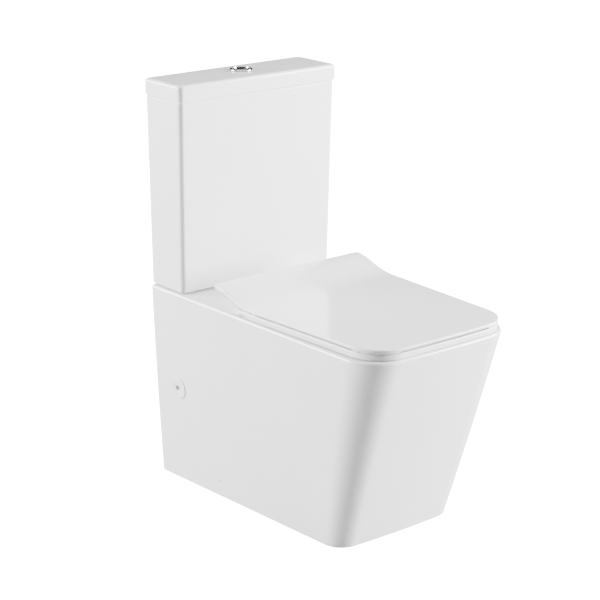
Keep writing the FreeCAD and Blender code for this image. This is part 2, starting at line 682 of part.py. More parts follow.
def make_button(rod_x):
    """One half of the split button, with its spigot that the push rod hangs from."""
    radius = BEZEL_BORE - BUTTON_GAP
    button = disc(0, VALVE_D, BUTTON_UNDER_Z, BUTTON_TOP_Z, radius)
    button = rounded(button, BUTTON_GAP, lambda edge: level(edge, BUTTON_TOP_Z))
    if rod_x > BUTTON_SPLIT:
        keep = block(BUTTON_SPLIT + BUTTON_SLOT / 2.0, REACH, -REACH, REACH, 0.0, REACH)
    else:
        keep = block(-REACH, BUTTON_SPLIT - BUTTON_SLOT / 2.0, -REACH, REACH, 0.0, REACH)
    return button.common(keep)


def make_rod(rod_x):
    return disc(rod_x, VALVE_D, ROD_END_Z, BUTTON_UNDER_Z, ROD_RADIUS)


def make_spring(rod_x):
    """Return spring between the bezel's web and the button."""
    foot = WEB_Z + BEZEL_WEB + SPRING_WIRE
    height = BUTTON_UNDER_Z - SPRING_WIRE - foot
    helix = Part.makeHelix(height / SPRING_TURNS, height, SPRING_RADIUS)
    wire_centre = FreeCAD.Vector(SPRING_RADIUS, 0, 0)
    section = Part.Wire(Part.makeCircle(SPRING_WIRE, wire_centre, FreeCAD.Vector(0, 1, 0)))
    spring = Part.Wire(helix).makePipeShell([section], True, True)
    spring.translate(at(rod_x, VALVE_D, foot))
    return spring


# ---------------------------------------------------------------- flush valve
def make_flush_valve_base():
    top = VALVE_FLANGE_Z + VALVE_FLANGE_HEIGHT
    body = joined([
        disc(0, VALVE_D, VALVE_FLANGE_Z - VALVE_TAIL_LENGTH, VALVE_FLANGE_Z, VALVE_TAIL),
        disc(0, VALVE_D, VALVE_FLANGE_Z, top, VALVE_FLANGE),
        disc(0, VALVE_D, top, VALVE_SEAT_Z, VALVE_BORE + VALVE_SEAT_WALL)])
    return body.cut(disc(0, VALVE_D, 0.0, VALVE_SEAT_Z + 1.0, VALVE_BORE))


def make_tower():
    foot = VALVE_FLANGE_Z + VALVE_FLANGE_HEIGHT
    top = TOWER_Z + TOWER_PLATE
    parts = [ring(0, VALVE_D, foot, foot + TOWER_PLATE, VALVE_FLANGE, SEAL_RADIUS + 2.0 * SIDE_GAP)]
    half = TOWER_LEG / 2.0
    place = TOWER_LEG_RADIUS * math.cos(math.radians(45))
    for x in (-place, place):
        for d in (VALVE_D - place, VALVE_D + place):
            parts.append(block(x - half, x + half, d - half, d + half, foot, top))
    parts.append(block(-TOWER_PLATE_HALF, TOWER_PLATE_HALF, VALVE_D - place - half, VALVE_D + place + half,
                       TOWER_Z, top))
    inner = ROCKER_WIDTH / 2.0 + SIDE_GAP
    for x in (-ROCKER_PIVOT_X, ROCKER_PIVOT_X):
        for d in (VALVE_D - inner - CHEEK, VALVE_D + inner):
            parts.append(block(x - CHEEK, x + CHEEK, d, d + CHEEK, top, ROCKER_Z + CHEEK))
    tower = joined(parts)
    tower = tower.cut(disc(0, VALVE_D, TOWER_Z - 1.0, top + 1.0, LIFT_TUBE + TOWER_HOLE_GAP))
    for x in (-ROCKER_PIVOT_X, ROCKER_PIVOT_X):
        pin_hole = bar_d(x, VALVE_D - TOWER_LEG_RADIUS, VALVE_D + TOWER_LEG_RADIUS, ROCKER_Z, ROCKER_PIN)
        tower = tower.cut(pin_hole)
    return tower


def make_rocker_pins():
    reach = ROCKER_WIDTH / 2.0 + SIDE_GAP + CHEEK
    return both_sides(bar_d(ROCKER_PIVOT_X, VALVE_D - reach, VALVE_D + reach, ROCKER_Z, ROCKER_PIN))


def make_rocker(rod_x):
    """Lever that turns a press on its inner end into a lift at its outer end."""
    side = 1.0 if rod_x > 0 else -1.0
    pivot = side * ROCKER_PIVOT_X
    outer = pivot + side * ROCKER_REACH
    d0 = VALVE_D - ROCKER_WIDTH / 2.0
    d1 = VALVE_D + ROCKER_WIDTH / 2.0
    low, high = sorted((rod_x, outer))
    web = ROCKER_END - 1.0
    body = joined([
        block(low, high, d0, d1, ROCKER_Z - web, ROCKER_Z + web),
        bar_d(low, d0, d1, ROCKER_Z, ROCKER_END),
        bar_d(high, d0, d1, ROCKER_Z, ROCKER_END),
        bar_d(pivot, d0, d1, ROCKER_Z, ROCKER_PIN + 2.0)])
    return body.cut(bar_d(pivot, d0 - 1.0, d1 + 1.0, ROCKER_Z, ROCKER_PIN + PIN_GAP))


def make_lift_tube():
    """Overflow tube that carries the seal, with the yoke that the rockers lift."""
    seat = VALVE_SEAT_Z + SEAL_HEIGHT
    bar_top = TOWER_Z - YOKE_DROP
    tube_top = TOWER_Z - ROCKER_RISE
    outer = ROCKER_PIVOT_X + ROCKER_REACH + 2.0 * ROCKER_END
    half = YOKE_WIDTH / 2.0
    d0 = VALVE_D - half
    d1 = VALVE_D + half
    parts = [disc(0, VALVE_D, VALVE_SEAT_Z, tube_top, LIFT_TUBE),
             disc(0, VALVE_D, seat, seat + LIFT_TUBE_COLLAR_HEIGHT, LIFT_TUBE_COLLAR),
             block(-outer - YOKE_STRIP, outer + YOKE_STRIP, d0, d1, bar_top - YOKE_BAR, bar_top)]
    for side, gap in ((-1.0, PRESS_GAP), (1.0, HALF_YOKE_GAP)):
        hook = ROCKER_Z + ROCKER_END + gap
        near, far = sorted((side * outer, side * (outer + YOKE_STRIP)))
        parts.append(block(near, far, d0, d1, bar_top, hook + YOKE_HOOK))
        hook_x = ROCKER_PIVOT_X + ROCKER_REACH - 2.0 * ROCKER_END
        near, far = sorted((side * hook_x, side * (outer + YOKE_STRIP)))
        parts.append(block(near, far, d0, d1, hook, hook + YOKE_HOOK))
    return joined(parts).cut(disc(0, VALVE_D, VALVE_SEAT_Z - 1.0, tube_top + 1.0, LIFT_TUBE_BORE))


def make_flush_seal():
    return ring(0, VALVE_D, VALVE_SEAT_Z, VALVE_SEAT_Z + SEAL_HEIGHT, SEAL_RADIUS, LIFT_TUBE)


def make_flush_valve_gasket():
    return ring(0, VALVE_D, CISTERN_FLOOR_Z, VALVE_FLANGE_Z, VALVE_FLANGE, VALVE_TAIL)


def make_flush_valve_backnut():
    nut = hexagon(0, VALVE_D, CISTERN_Z - BACKNUT_HEIGHT, CISTERN_Z, VALVE_TAIL + BACKNUT_WALL)
    return nut.cut(disc(0, VALVE_D, 0.0, CISTERN_Z + 1.0, VALVE_TAIL))


def make_coupling_donut():
    """Foam seal that surrounds the backnut and sits in the pan's inlet recess."""
    bore = VALVE_TAIL + BACKNUT_WALL + DONUT_GAP
    return ring(0, VALVE_D, RECESS_Z, CISTERN_Z, INLET_RECESS - DONUT_GAP, bore)


# ---------------------------------------------------------------- fill valve
def make_fill_valve_stem():
    foot = VALVE_FLANGE_Z
    body = joined([
        disc(FILL_X, VALVE_D, foot - FILL_TAIL_LENGTH, foot, FILL_TAIL),
        disc(FILL_X, VALVE_D, foot, foot + FILL_FLANGE_HEIGHT, FILL_FLANGE),
        disc(FILL_X, VALVE_D, foot + FILL_FLANGE_HEIGHT, FILL_HEAD_Z, FILL_STEM)])
    relief_z = CISTERN_Z - BACKNUT_HEIGHT - FILL_RELIEF
    relief = ring(FILL_X, VALVE_D, relief_z, relief_z + FILL_RELIEF,
                  FILL_FLANGE, FILL_TAIL - FILL_RELIEF_DEPTH)
    return body.cut(relief).cut(disc(FILL_X, VALVE_D, 0.0, FILL_HEAD_Z + 1.0, FILL_BORE))


def make_fill_valve_head():
    top = FILL_HEAD_Z + FILL_HEAD_HEIGHT
    head = disc(FILL_X, VALVE_D, FILL_HEAD_Z, top, FILL_HEAD)
    head = rounded(head, 2.0, lambda edge: level(edge, top))
    inner = LEVER_WIDTH / 2.0 + SIDE_GAP
    parts = [head]
    for d in (VALVE_D - inner - CHEEK, VALVE_D + inner):
        parts.append(block(FILL_X - CHEEK, FILL_X + CHEEK, d, d + CHEEK, top - 1.0, LEVER_Z + CHEEK))
    return joined(parts).cut(bar_d(FILL_X, VALVE_D - FILL_HEAD, VALVE_D + FILL_HEAD, LEVER_Z, LEVER_PIN))


def make_lever_pin():
    reach = LEVER_WIDTH / 2.0 + SIDE_GAP + CHEEK
    return bar_d(FILL_X, VALVE_D - reach, VALVE_D + reach, LEVER_Z, LEVER_PIN)


def make_float():
    """Float cup that slides on the stem, with the link rod and its two collars."""
    foot = FLOAT_TOP_Z - FLOAT_HEIGHT
    cup = ring(FILL_X, VALVE_D, foot, FLOAT_TOP_Z, FLOAT_RADIUS, FILL_STEM + FLOAT_GAP)
    cup = rounded(cup, FLOAT_EDGE,
                  lambda edge: level(edge, FLOAT_TOP_Z) and edge.BoundBox.XLength > FLOAT_RADIUS)
    # open underneath, so that the air held inside floats it
    sleeve = FILL_STEM + FLOAT_GAP + FLOAT_WALL
    cup = cup.cut(ring(FILL_X, VALVE_D, foot - 1.0, FLOAT_TOP_Z - FLOAT_WALL,
                       FLOAT_RADIUS - FLOAT_WALL, sleeve))
    link_x = FILL_X - LINK_X
    low_collar = LEVER_Z - LEVER_THICKNESS / 2.0 - LINK_COLLAR_GAP
    high_collar = LEVER_Z + LEVER_THICKNESS / 2.0 + LINK_COLLAR_GAP
    return joined([cup,
                   disc(link_x, VALVE_D, FLOAT_TOP_Z - 1.0, high_collar + LINK_COLLAR, LINK_RADIUS),
                   disc(link_x, VALVE_D, low_collar - LEVER_THICKNESS / 2.0, low_collar, LINK_COLLAR),
                   disc(link_x, VALVE_D, high_collar, high_collar + LEVER_THICKNESS / 2.0, LINK_COLLAR)])


def make_float_lever():
    half = LEVER_WIDTH / 2.0
    thin = LEVER_THICKNESS / 2.0
    link_x = FILL_X - LINK_X
    body = joined([
        block(link_x - LINK_COLLAR, FILL_X, VALVE_D - half, VALVE_D + half, LEVER_Z - thin, LEVER_Z + thin),
        bar_d(FILL_X, VALVE_D - half, VALVE_D + half, LEVER_Z, LEVER_PIN + 2.0)])
    body = body.cut(bar_d(FILL_X, VALVE_D - half - 1.0, VALVE_D + half + 1.0, LEVER_Z, LEVER_PIN + PIN_GAP))
    slot = LINK_RADIUS + SIDE_GAP
    return body.cut(block(link_x - 2.0 * LINK_COLLAR, link_x + LINK_COLLAR, VALVE_D - slot, VALVE_D + slot,
                          LEVER_Z - LEVER_THICKNESS, LEVER_Z + LEVER_THICKNESS))


def make_fill_valve_gasket():
    return ring(FILL_X, VALVE_D, CISTERN_FLOOR_Z, VALVE_FLANGE_Z, FILL_FLANGE, FILL_TAIL)


def make_fill_valve_backnut():
    nut = hexagon(FILL_X, VALVE_D, CISTERN_Z - BACKNUT_HEIGHT, CISTERN_Z, FILL_TAIL + FILL_NUT_WALL)
    return nut.cut(disc(FILL_X, VALVE_D, 0.0, CISTERN_Z + 1.0, FILL_TAIL))


# ---------------------------------------------------------------- coupling bolts
def make_coupling_bolts():
    head_z = CISTERN_FLOOR_Z + GASKET
    bolt = joined([disc(COUPLING_X, VALVE_D, head_z - COUPLING_BOLT_LENGTH, head_z, COUPLING_BOLT),
                   hexagon(COUPLING_X, VALVE_D, head_z, head_z + COUPLING_HEAD_HEIGHT, COUPLING_HEAD)])
    return both_sides(bolt)


def make_coupling_gaskets():
    return both_sides(ring(COUPLING_X, VALVE_D, CISTERN_FLOOR_Z, CISTERN_FLOOR_Z + GASKET, COUPLING_WASHER,
                           COUPLING_BOLT))


def make_cushion_washers():
    return both_sides(ring(COUPLING_X, VALVE_D, PAN_HEIGHT, CISTERN_Z, COUPLING_CUSHION, COUPLING_BOLT))


def make_coupling_washers():
    return both_sides(ring(COUPLING_X, VALVE_D, DECK_UNDER_Z - STEEL_WASHER, DECK_UNDER_Z, COUPLING_WASHER,
                           COUPLING_BOLT))


def wing_nut(x, d, top, bore):
    """A wing nut below the height top, its wings along the depth."""
    low = top - WING_NUT_HEIGHT
    nut = joined([disc(x, d, low, top, WING_NUT),
                  block(x - WING_THICKNESS / 2.0, x + WING_THICKNESS / 2.0, d - WING_SPAN, d + WING_SPAN,
                        low - WING_NUT_HEIGHT / 2.0, top - WING_NUT_HEIGHT / 3.0)])
    return nut.cut(disc(x, d, low - WING_NUT_HEIGHT, top + 1.0, bore))


def make_coupling_wing_nuts():
    return both_sides(wing_nut(COUPLING_X, VALVE_D, DECK_UNDER_Z - STEEL_WASHER, COUPLING_BOLT))


# ---------------------------------------------------------------- seat and lid
def seat_outline(z, inset, back_d, back_corner):
    """Plan of the seat lid, or with inset of the ring, from a back depth to the front."""
    front = DEPTH - SEAT_SETBACK - SEAT_BOW - inset
    shoulder = (SEAT_HALF - inset, SEAT_SHOULDER_D)
    return outline(z, [(SEAT_HALF - inset, back_d), shoulder, (SEAT_FRONT_HALF - inset, front)],
                   [back_corner, SEAT_SHOULDER_ROUND], SEAT_CORNER - inset, SEAT_BOW)


def lid_line(z):
    """The lid seen from the side, as edges: level, then up in an S that levels out just behind the lid."""
    x = -SEAT_HALF - MARGIN
    end = LID_BACK_D - LID_RUN_OUT
    start = end + LID_SWEEP
    high = z + LID_RISE
    curve = Part.BezierCurve()
    curve.setPoles([at(x, start, z), at(x, start - LID_SWEEP * 0.5, z),
                    at(x, end + LID_SWEEP * 0.4, high), at(x, end, high)])
    return [Part.LineSegment(at(x, DEPTH + MARGIN, z), at(x, start, z)).toShape(),
            curve.toShape(),
            Part.LineSegment(at(x, end, high), at(x, end - MARGIN, high)).toShape()]


def make_seat_lid():
    top = LID_Z + LID_THICKNESS
    under_line = lid_line(LID_Z)
    over_line = lid_line(top)
    front_end = Part.LineSegment(under_line[0].valueAt(0.0), over_line[0].valueAt(0.0)).toShape()
    back_end = Part.LineSegment(under_line[2].valueAt(MARGIN), over_line[2].valueAt(MARGIN)).toShape()
    section = Part.Face(Part.Wire(Part.__sortEdges__(under_line + over_line + [front_end, back_end])))
    slab = section.extrude(FreeCAD.Vector(2.0 * (SEAT_HALF + MARGIN), 0, 0))
    plan = seat_outline(LID_Z - 1.0, 0.0, LID_BACK_D, LID_BACK_CORNER)
    plate = slab.common(prism(plan, LID_THICKNESS + LID_RISE + 2.0))
    front_y = SEAT_SETBACK - WALL
    plate = rounded(plate, LID_EDGE, lambda edge: level(edge, top) and edge.BoundBox.YMin < front_y + 0.1)
    inner = HINGE_X + HINGE_POST + HINGE_SIDE_GAP
    outer = HINGE_X + HINGE_PIN_REACH - HINGE_SIDE_GAP
    lug = joined([bar_x(inner, outer, HINGE_D, HINGE_Z, HINGE_BARREL),
                  block(inner, outer, HINGE_D - HINGE_BARREL, HINGE_D + HINGE_BARREL, HINGE_Z,
                        LID_Z + LID_RISE + LID_THICKNESS * 0.4)])
    lug = lug.cut(bar_x(inner - 1.0, outer + 1.0, HINGE_D, HINGE_Z, HINGE_PIN + PIN_GAP))
    return joined([plate, lug, other_side(lug)])


def make_seat_ring():
    plate = prism(seat_outline(RING_Z, RING_INSET, RING_BACK_D, RING_BACK_CORNER), RING_THICKNESS)
    plate = rounded(plate, RING_EDGE, lambda edge: level(edge, RING_Z + RING_THICKNESS))
    front = DEPTH - SEAT_SETBACK - RING_MOUTH_FRONT
    mouth = prism(outline(RING_Z - 1.0, [(RING_MOUTH_HALF, RING_MOUTH_BACK), (RING_MOUTH_HALF, front)],
                          [RING_MOUTH_CORNER], RING_MOUTH_CORNER, SEAT_BOW), RING_THICKNESS + 2.0)
    plate = plate.cut(mouth)
    top = RING_Z + RING_THICKNESS
    limit = RING_MOUTH_HALF + 1.0
    plate = rounded(plate, RING_MOUTH_EDGE, lambda edge: level(edge, top)
                    and edge.BoundBox.XMax < limit and edge.BoundBox.XMin > -limit)
    outer = HINGE_X - HINGE_POST - HINGE_SIDE_GAP
    inner = HINGE_X - HINGE_PIN_REACH + HINGE_SIDE_GAP
    arm = block(inner, outer, HINGE_D, RING_BACK_D + 2.0 * RING_EDGE, RING_Z + RING_EDGE,
                RING_Z + RING_THICKNESS)
    lug = joined([bar_x(inner, outer, HINGE_D, HINGE_Z, HINGE_BARREL), arm])
    lug = lug.cut(bar_x(inner - 1.0, outer + 1.0, HINGE_D, HINGE_Z, HINGE_PIN + PIN_GAP))
    return joined([plate, lug, other_side(lug)])


def make_buffers(places, low, high, radius):
    """Rubber feet, one pair for each place."""
    feet = []
    for x, d in places:
        feet += [disc(x, d, low, high, radius), disc(-x, d, low, high, radius)]
    return Part.Compound(feet)


def make_hinge_posts():
    foot = HINGE_PLATE_THICKNESS + PAN_HEIGHT
    post = joined([disc(HINGE_X, HINGE_D, PAN_HEIGHT, foot, HINGE_PLATE),
                   block(HINGE_X - HINGE_POST, HINGE_X + HINGE_POST,
                         HINGE_D - HINGE_POST, HINGE_D + HINGE_POST, foot, HINGE_Z),
                   bar_x(HINGE_X - HINGE_POST, HINGE_X + HINGE_POST, HINGE_D, HINGE_Z, HINGE_POST)])
    post = post.cut(bar_x(HINGE_X - HINGE_PLATE, HINGE_X + HINGE_PLATE, HINGE_D, HINGE_Z, HINGE_PIN))
    return both_sides(post)


def make_hinge_pins():
    pin = bar_x(HINGE_X - HINGE_PIN_REACH, HINGE_X + HINGE_PIN_REACH, HINGE_D, HINGE_Z, HINGE_PIN)
    return both_sides(pin)


def make_seat_bolts():
    return both_sides(disc(HINGE_X, HINGE_D, PAN_HEIGHT - SEAT_BOLT_LENGTH, PAN_HEIGHT, SEAT_BOLT))


def make_seat_washers():
    low = DECK_UNDER_Z - CONE_WASHER_HEIGHT
    cone = Part.makeCone(CONE_WASHER * 0.75, CONE_WASHER, CONE_WASHER_HEIGHT, at(HINGE_X, HINGE_D, low))
    return both_sides(cone.cut(disc(HINGE_X, HINGE_D, low - 1.0, DECK_UNDER_Z + 1.0, SEAT_BOLT)))


def make_seat_nuts():
    return both_sides(wing_nut(HINGE_X, HINGE_D, DECK_UNDER_Z - CONE_WASHER_HEIGHT, SEAT_BOLT))


# ---------------------------------------------------------------- side fixings
def make_side_caps():
    seat = -SPOT_FACE
    flange = bar_u(seat, seat + CAP_FLANGE, CAP_RADIUS)
    face = seat + CAP_FLANGE - 0.1
    flange = rounded(flange, CAP_EDGE,
                     lambda edge: edge.BoundBox.XMin > face and edge.BoundBox.YLength > CAP_RADIUS)
    cap = joined([flange, bar_u(seat - CAP_BARREL_LENGTH, seat, CAP_BARREL)])
    cap = cap.cut(bar_u(seat + CAP_FLANGE - CAP_RECESS_DEPTH, CHINA, CAP_RECESS))
    cap = cap.cut(bar_u(-REACH, CHINA, CAP_SCREW))
    return both_sides(on_side(cap, CAP_D, CAP_Z))


def screw_slot(top, radius):
    """The slot across a screw head whose top is at X = top."""
    corner = FreeCAD.Vector(top - SLOT_DEPTH, -2.0 * radius, -SLOT_WIDTH / 2.0)
    return Part.makeBox(2.0 * SLOT_DEPTH, 4.0 * radius, SLOT_WIDTH, corner)


def cap_screw():
    under_head = CAP_FLANGE - SPOT_FACE - CAP_RECESS_DEPTH
    head = bar_u(under_head, under_head + CAP_SCREW_HEAD_HEIGHT, CAP_SCREW_HEAD)
    slot = screw_slot(under_head + CAP_SCREW_HEAD_HEIGHT, CAP_SCREW_HEAD)
    shank = bar_u(under_head - CAP_SCREW_LENGTH, under_head, CAP_SCREW)
    return on_side(joined([head, shank]).cut(slot), CAP_D, CAP_Z)


def side_screw():
    under_head = -SIDE_HOLE_DEPTH
    head = bar_u(under_head, under_head + SIDE_SCREW_HEAD_HEIGHT, SIDE_SCREW_HEAD)
    slot = screw_slot(under_head + SIDE_SCREW_HEAD_HEIGHT, SIDE_SCREW_HEAD)
    shank = bar_u(under_head - SIDE_SCREW_LENGTH, under_head, SIDE_SCREW)
    return on_side(joined([head, shank]).cut(slot), SIDE_SCREW_D, SIDE_SCREW_Z)


def make_wall_brackets():
    z0 = CAP_Z - WALL_BRACKET_HALF
    z1 = CAP_Z + WALL_BRACKET_HALF
    inner = WALL_BRACKET_X - WALL_BRACKET_FOOT
    plate = joined([block(WALL_BRACKET_X - BRACKET, WALL_BRACKET_X, 0.0, WALL_BRACKET_REACH, z0, z1),
                    block(inner, WALL_BRACKET_X, 0.0, BRACKET, z0, z1)])
    hole_x = WALL_BRACKET_X - WALL_BRACKET_FOOT / 2.0
    for z in (CAP_Z - BRACKET_HOLE_SPACING / 2.0, CAP_Z + BRACKET_HOLE_SPACING / 2.0):
        plate = plate.cut(bar_d(hole_x, -1.0, 2.0 * BRACKET, z, BRACKET_HOLE))
    return both_sides(plate.cut(cap_screw()))


def floor_bracket_x():
    """X of the floor bracket's upright face: just inside the foot of the skirt."""
    return side_x(SIDE_SCREW_D + FLOOR_BRACKET_HALF, 0.0) - CHINA - FLOOR_BRACKET_GAP


def make_floor_brackets():
    d0 = SIDE_SCREW_D - FLOOR_BRACKET_HALF
    d1 = SIDE_SCREW_D + FLOOR_BRACKET_HALF
    x = floor_bracket_x()
    plate = joined([block(x - BRACKET, x, d0, d1, 0.0, FLOOR_BRACKET_HEIGHT),
                    block(x - FLOOR_BRACKET_FOOT, x, d0, d1, 0.0, BRACKET)])
    for d in (SIDE_SCREW_D - BRACKET_HOLE_SPACING / 2.0, SIDE_SCREW_D + BRACKET_HOLE_SPACING / 2.0):
        plate = plate.cut(disc(x - FLOOR_BRACKET_FOOT / 2.0, d, -1.0, 2.0 * BRACKET, BRACKET_HOLE))
    return both_sides(plate.cut(side_screw()))


# ---------------------------------------------------------------- all the pieces
def pieces():
    return {
        "pan": make_pan(),
        "pan_bowl": make_bowl(),
        "pan_trapway": make_trapway(),
        "pan_flush_duct": make_flush_duct(),
        "cistern": make_cistern(),
        "cistern_lid": make_cistern_lid(),
        "button_bezel": make_button_bezel(),
        "button_nut": make_button_nut(),
        "full_flush_button": make_button(FULL_ROD_X),
        "half_flush_button": make_button(HALF_ROD_X),
        "full_push_rod": make_rod(FULL_ROD_X),
        "half_push_rod": make_rod(HALF_ROD_X),
        "full_button_spring": make_spring(FULL_ROD_X),
        "half_button_spring": make_spring(HALF_ROD_X),
        "flush_valve_base": make_flush_valve_base(),
        "flush_valve_tower": make_tower(),
        "rocker_pins": make_rocker_pins(),
        "full_rocker": make_rocker(FULL_ROD_X),
        "half_rocker": make_rocker(HALF_ROD_X),
        "lift_tube": make_lift_tube(),
        "flush_seal": make_flush_seal(),
        "flush_valve_gasket": make_flush_valve_gasket(),
        "flush_valve_backnut": make_flush_valve_backnut(),
        "coupling_donut": make_coupling_donut(),
        "fill_valve_stem": make_fill_valve_stem(),
        "fill_valve_head": make_fill_valve_head(),
        "float_lever_pin": make_lever_pin(),
        "fill_float": make_float(),
        "float_lever": make_float_lever(),
        "fill_valve_gasket": make_fill_valve_gasket(),
        "fill_valve_backnut": make_fill_valve_backnut(),
        "coupling_bolts": make_coupling_bolts(),
        "coupling_gaskets": make_coupling_gaskets(),
        "cushion_washers": make_cushion_washers(),
        "coupling_washers": make_coupling_washers(),
        "coupling_wing_nuts": make_coupling_wing_nuts(),
        "seat_ring": make_seat_ring(),
        "seat_lid": make_seat_lid(),
        "seat_buffers": make_buffers(SEAT_BUFFER_PLACES, PAN_HEIGHT, RING_Z, BUFFER),
        "lid_buffers": make_buffers(LID_BUFFER_PLACES, RING_Z + RING_THICKNESS, LID_Z, LID_BUFFER),
        "hinge_posts": make_hinge_posts(),
        "hinge_pins": make_hinge_pins(),
        "seat_bolts": make_seat_bolts(),
        "seat_washers": make_seat_washers(),
        "seat_nuts": make_seat_nuts(),
        "side_caps": make_side_caps(),
        "cap_screws": both_sides(cap_screw()),
        "wall_brackets": make_wall_brackets(),
        "side_screws": both_sides(side_screw()),
        "floor_brackets": make_floor_brackets(),
    }


os.makedirs("parts", exist_ok=True)
for name, shape in pieces().items():
    volume = sum(solid.Volume for solid in shape.Solids)
    state = "ok" if shape.isValid() else "INVALID"
    print("%-22s %d solid(s) %10.0f mm3 %s" % (name, len(shape.Solids), volume, state))
    shape.exportStep("parts/%s.step" % name)
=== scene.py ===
# %% [markdown]
# # Close coupled toilet
# A close coupled toilet is two castings of glazed china with plastic, rubber and steel between them.
# The pan stands on the floor, the cistern sits straight on the pan's deck, and a split button in the
# cistern's lid works the flush valve inside. Millimetre sizes below are turned into metres by `MM`.

import json
import math

import bmesh
import bpy
from mathutils import Matrix, Vector


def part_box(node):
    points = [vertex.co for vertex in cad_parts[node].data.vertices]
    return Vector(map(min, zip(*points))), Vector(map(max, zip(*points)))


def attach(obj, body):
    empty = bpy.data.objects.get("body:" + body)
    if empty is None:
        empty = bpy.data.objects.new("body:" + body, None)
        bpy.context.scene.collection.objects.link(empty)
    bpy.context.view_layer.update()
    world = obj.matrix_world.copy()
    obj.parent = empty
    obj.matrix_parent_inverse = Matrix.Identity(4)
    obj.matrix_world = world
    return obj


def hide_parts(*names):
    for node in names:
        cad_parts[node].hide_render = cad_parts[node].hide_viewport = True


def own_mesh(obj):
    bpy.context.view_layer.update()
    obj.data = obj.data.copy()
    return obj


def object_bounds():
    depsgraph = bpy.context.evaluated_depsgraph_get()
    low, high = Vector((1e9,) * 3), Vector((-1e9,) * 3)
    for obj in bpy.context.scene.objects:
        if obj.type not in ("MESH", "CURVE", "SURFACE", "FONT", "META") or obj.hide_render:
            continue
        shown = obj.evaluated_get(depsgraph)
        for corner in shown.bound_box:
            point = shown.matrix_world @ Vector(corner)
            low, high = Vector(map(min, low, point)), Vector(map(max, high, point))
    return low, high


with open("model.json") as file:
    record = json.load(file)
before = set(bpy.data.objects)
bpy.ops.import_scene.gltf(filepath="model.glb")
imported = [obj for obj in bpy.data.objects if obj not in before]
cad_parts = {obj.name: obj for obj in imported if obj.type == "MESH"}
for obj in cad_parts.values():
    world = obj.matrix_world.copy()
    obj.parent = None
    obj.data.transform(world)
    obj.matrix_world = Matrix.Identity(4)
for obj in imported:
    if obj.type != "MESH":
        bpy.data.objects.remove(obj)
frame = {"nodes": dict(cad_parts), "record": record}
cad_low, cad_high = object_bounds()
nodes = frame["nodes"]
MM = 0.001
print("box:", [round(v, 4) for v in cad_low], [round(v, 4) for v in cad_high])

# %% [markdown]
# ## Camera first
# A product picture of something this tall is taken from well back with a long lens, so that upright
# edges stay nearly parallel. A camera is aimed most easily with `to_track_quat`, which turns the
# lens (-Z) towards a target and keeps the picture upright.

# %% Camera
CAMERA_PLACE = Vector((-2.1620, -2.5797, 1.4782))
CAMERA_TARGET = Vector((0.01335, 0.10608, 0.38856))
LENS = 108.68


def make_camera():
    """A long lens, aimed at the middle of the toilet."""
    data = bpy.data.cameras.new("camera")
    data.lens = LENS
    data.sensor_width = 36.0
    data.clip_end = 100.0
    camera = bpy.data.objects.new("camera", data)
    bpy.context.scene.collection.objects.link(camera)
    camera.location = CAMERA_PLACE
    camera.rotation_mode = "QUATERNION"
    camera.rotation_quaternion = (CAMERA_TARGET - CAMERA_PLACE).to_track_quat("-Z", "Y")
    bpy.context.scene.camera = camera
    return camera


camera = make_camera()
print("camera stands", round((CAMERA_TARGET - CAMERA_PLACE).length, 3), "m from its target")

# %% [markdown]
# ## Studio
# White china shows nothing but what it reflects. Two broad soft boxes stand wide apart, one beyond
# each side, so that a rounded front corner, which faces neither, falls into a soft dark band. A weaker
# panel hangs over the object and keeps the level tops a shade darker than the sides. The floor looks
# like pale paper, yet throws little light back. `Is Camera Ray` allows that: only the camera sees the
# paper glow, so the glow can't wash the dark band out.

# %% Floor, sky and lamps
FLOOR_SIZE = 60.0
FLOOR_GREY = (0.30, 0.30, 0.30, 1.0)
FLOOR_ROUGHNESS = 0.9
FLOOR_SEEN = 26.0
SKY = (1.0, 1.0, 1.0, 1.0)
SKY_STRENGTH = 0.10
# name, place, target, size and power of each lamp
SOFT_BOXES = (("left_box", (-3.4, 3.0, 1.5), (0.0, 0.0, 0.45), (2.6, 2.8), 1000.0),
              ("right_box", (3.6, -2.5, 1.5), (0.0, 0.0, 0.40), (2.6, 2.8), 1600.0),
              ("roof_panel", (0.3, 0.6, 3.6), (0.0, 0.0, 0.4), (2.4, 2.4), 110.0))


def make_floor():
    """A large square that carries the soft shadow."""
    mesh = bpy.data.meshes.new("floor")
    half = FLOOR_SIZE / 2
    corners = [(-half, -half, 0), (half, -half, 0), (half, half, 0), (-half, half, 0)]
    mesh.from_pydata(corners, [], [(0, 1, 2, 3)])
    floor = bpy.data.objects.new("floor", mesh)
    bpy.context.scene.collection.objects.link(floor)
    paper = bpy.data.materials.new("paper_sweep")
    paper.use_nodes = True
    tree = paper.node_tree
    shader = tree.nodes["Principled BSDF"]
    shader.inputs["Base Color"].default_value = FLOOR_GREY
    shader.inputs["Roughness"].default_value = FLOOR_ROUGHNESS
    shader.inputs["Emission Color"].default_value = SKY
    path = tree.nodes.new("ShaderNodeLightPath")
    seen = tree.nodes.new("ShaderNodeMath")
    seen.operation = "MULTIPLY"
    seen.inputs[1].default_value = FLOOR_SEEN
    tree.links.new(path.outputs["Is Camera Ray"], seen.inputs[0])
    tree.links.new(seen.outputs["Value"], shader.inputs["Emission Strength"])
    mesh.materials.append(paper)
    return floor


def make_sky():
    """An even, weak light from everywhere."""
    world = bpy.data.worlds.new("studio")
    world.use_nodes = True
    background = world.node_tree.nodes["Background"]
    background.inputs["Color"].default_value = SKY
    background.inputs["Strength"].default_value = SKY_STRENGTH
    bpy.context.scene.world = world


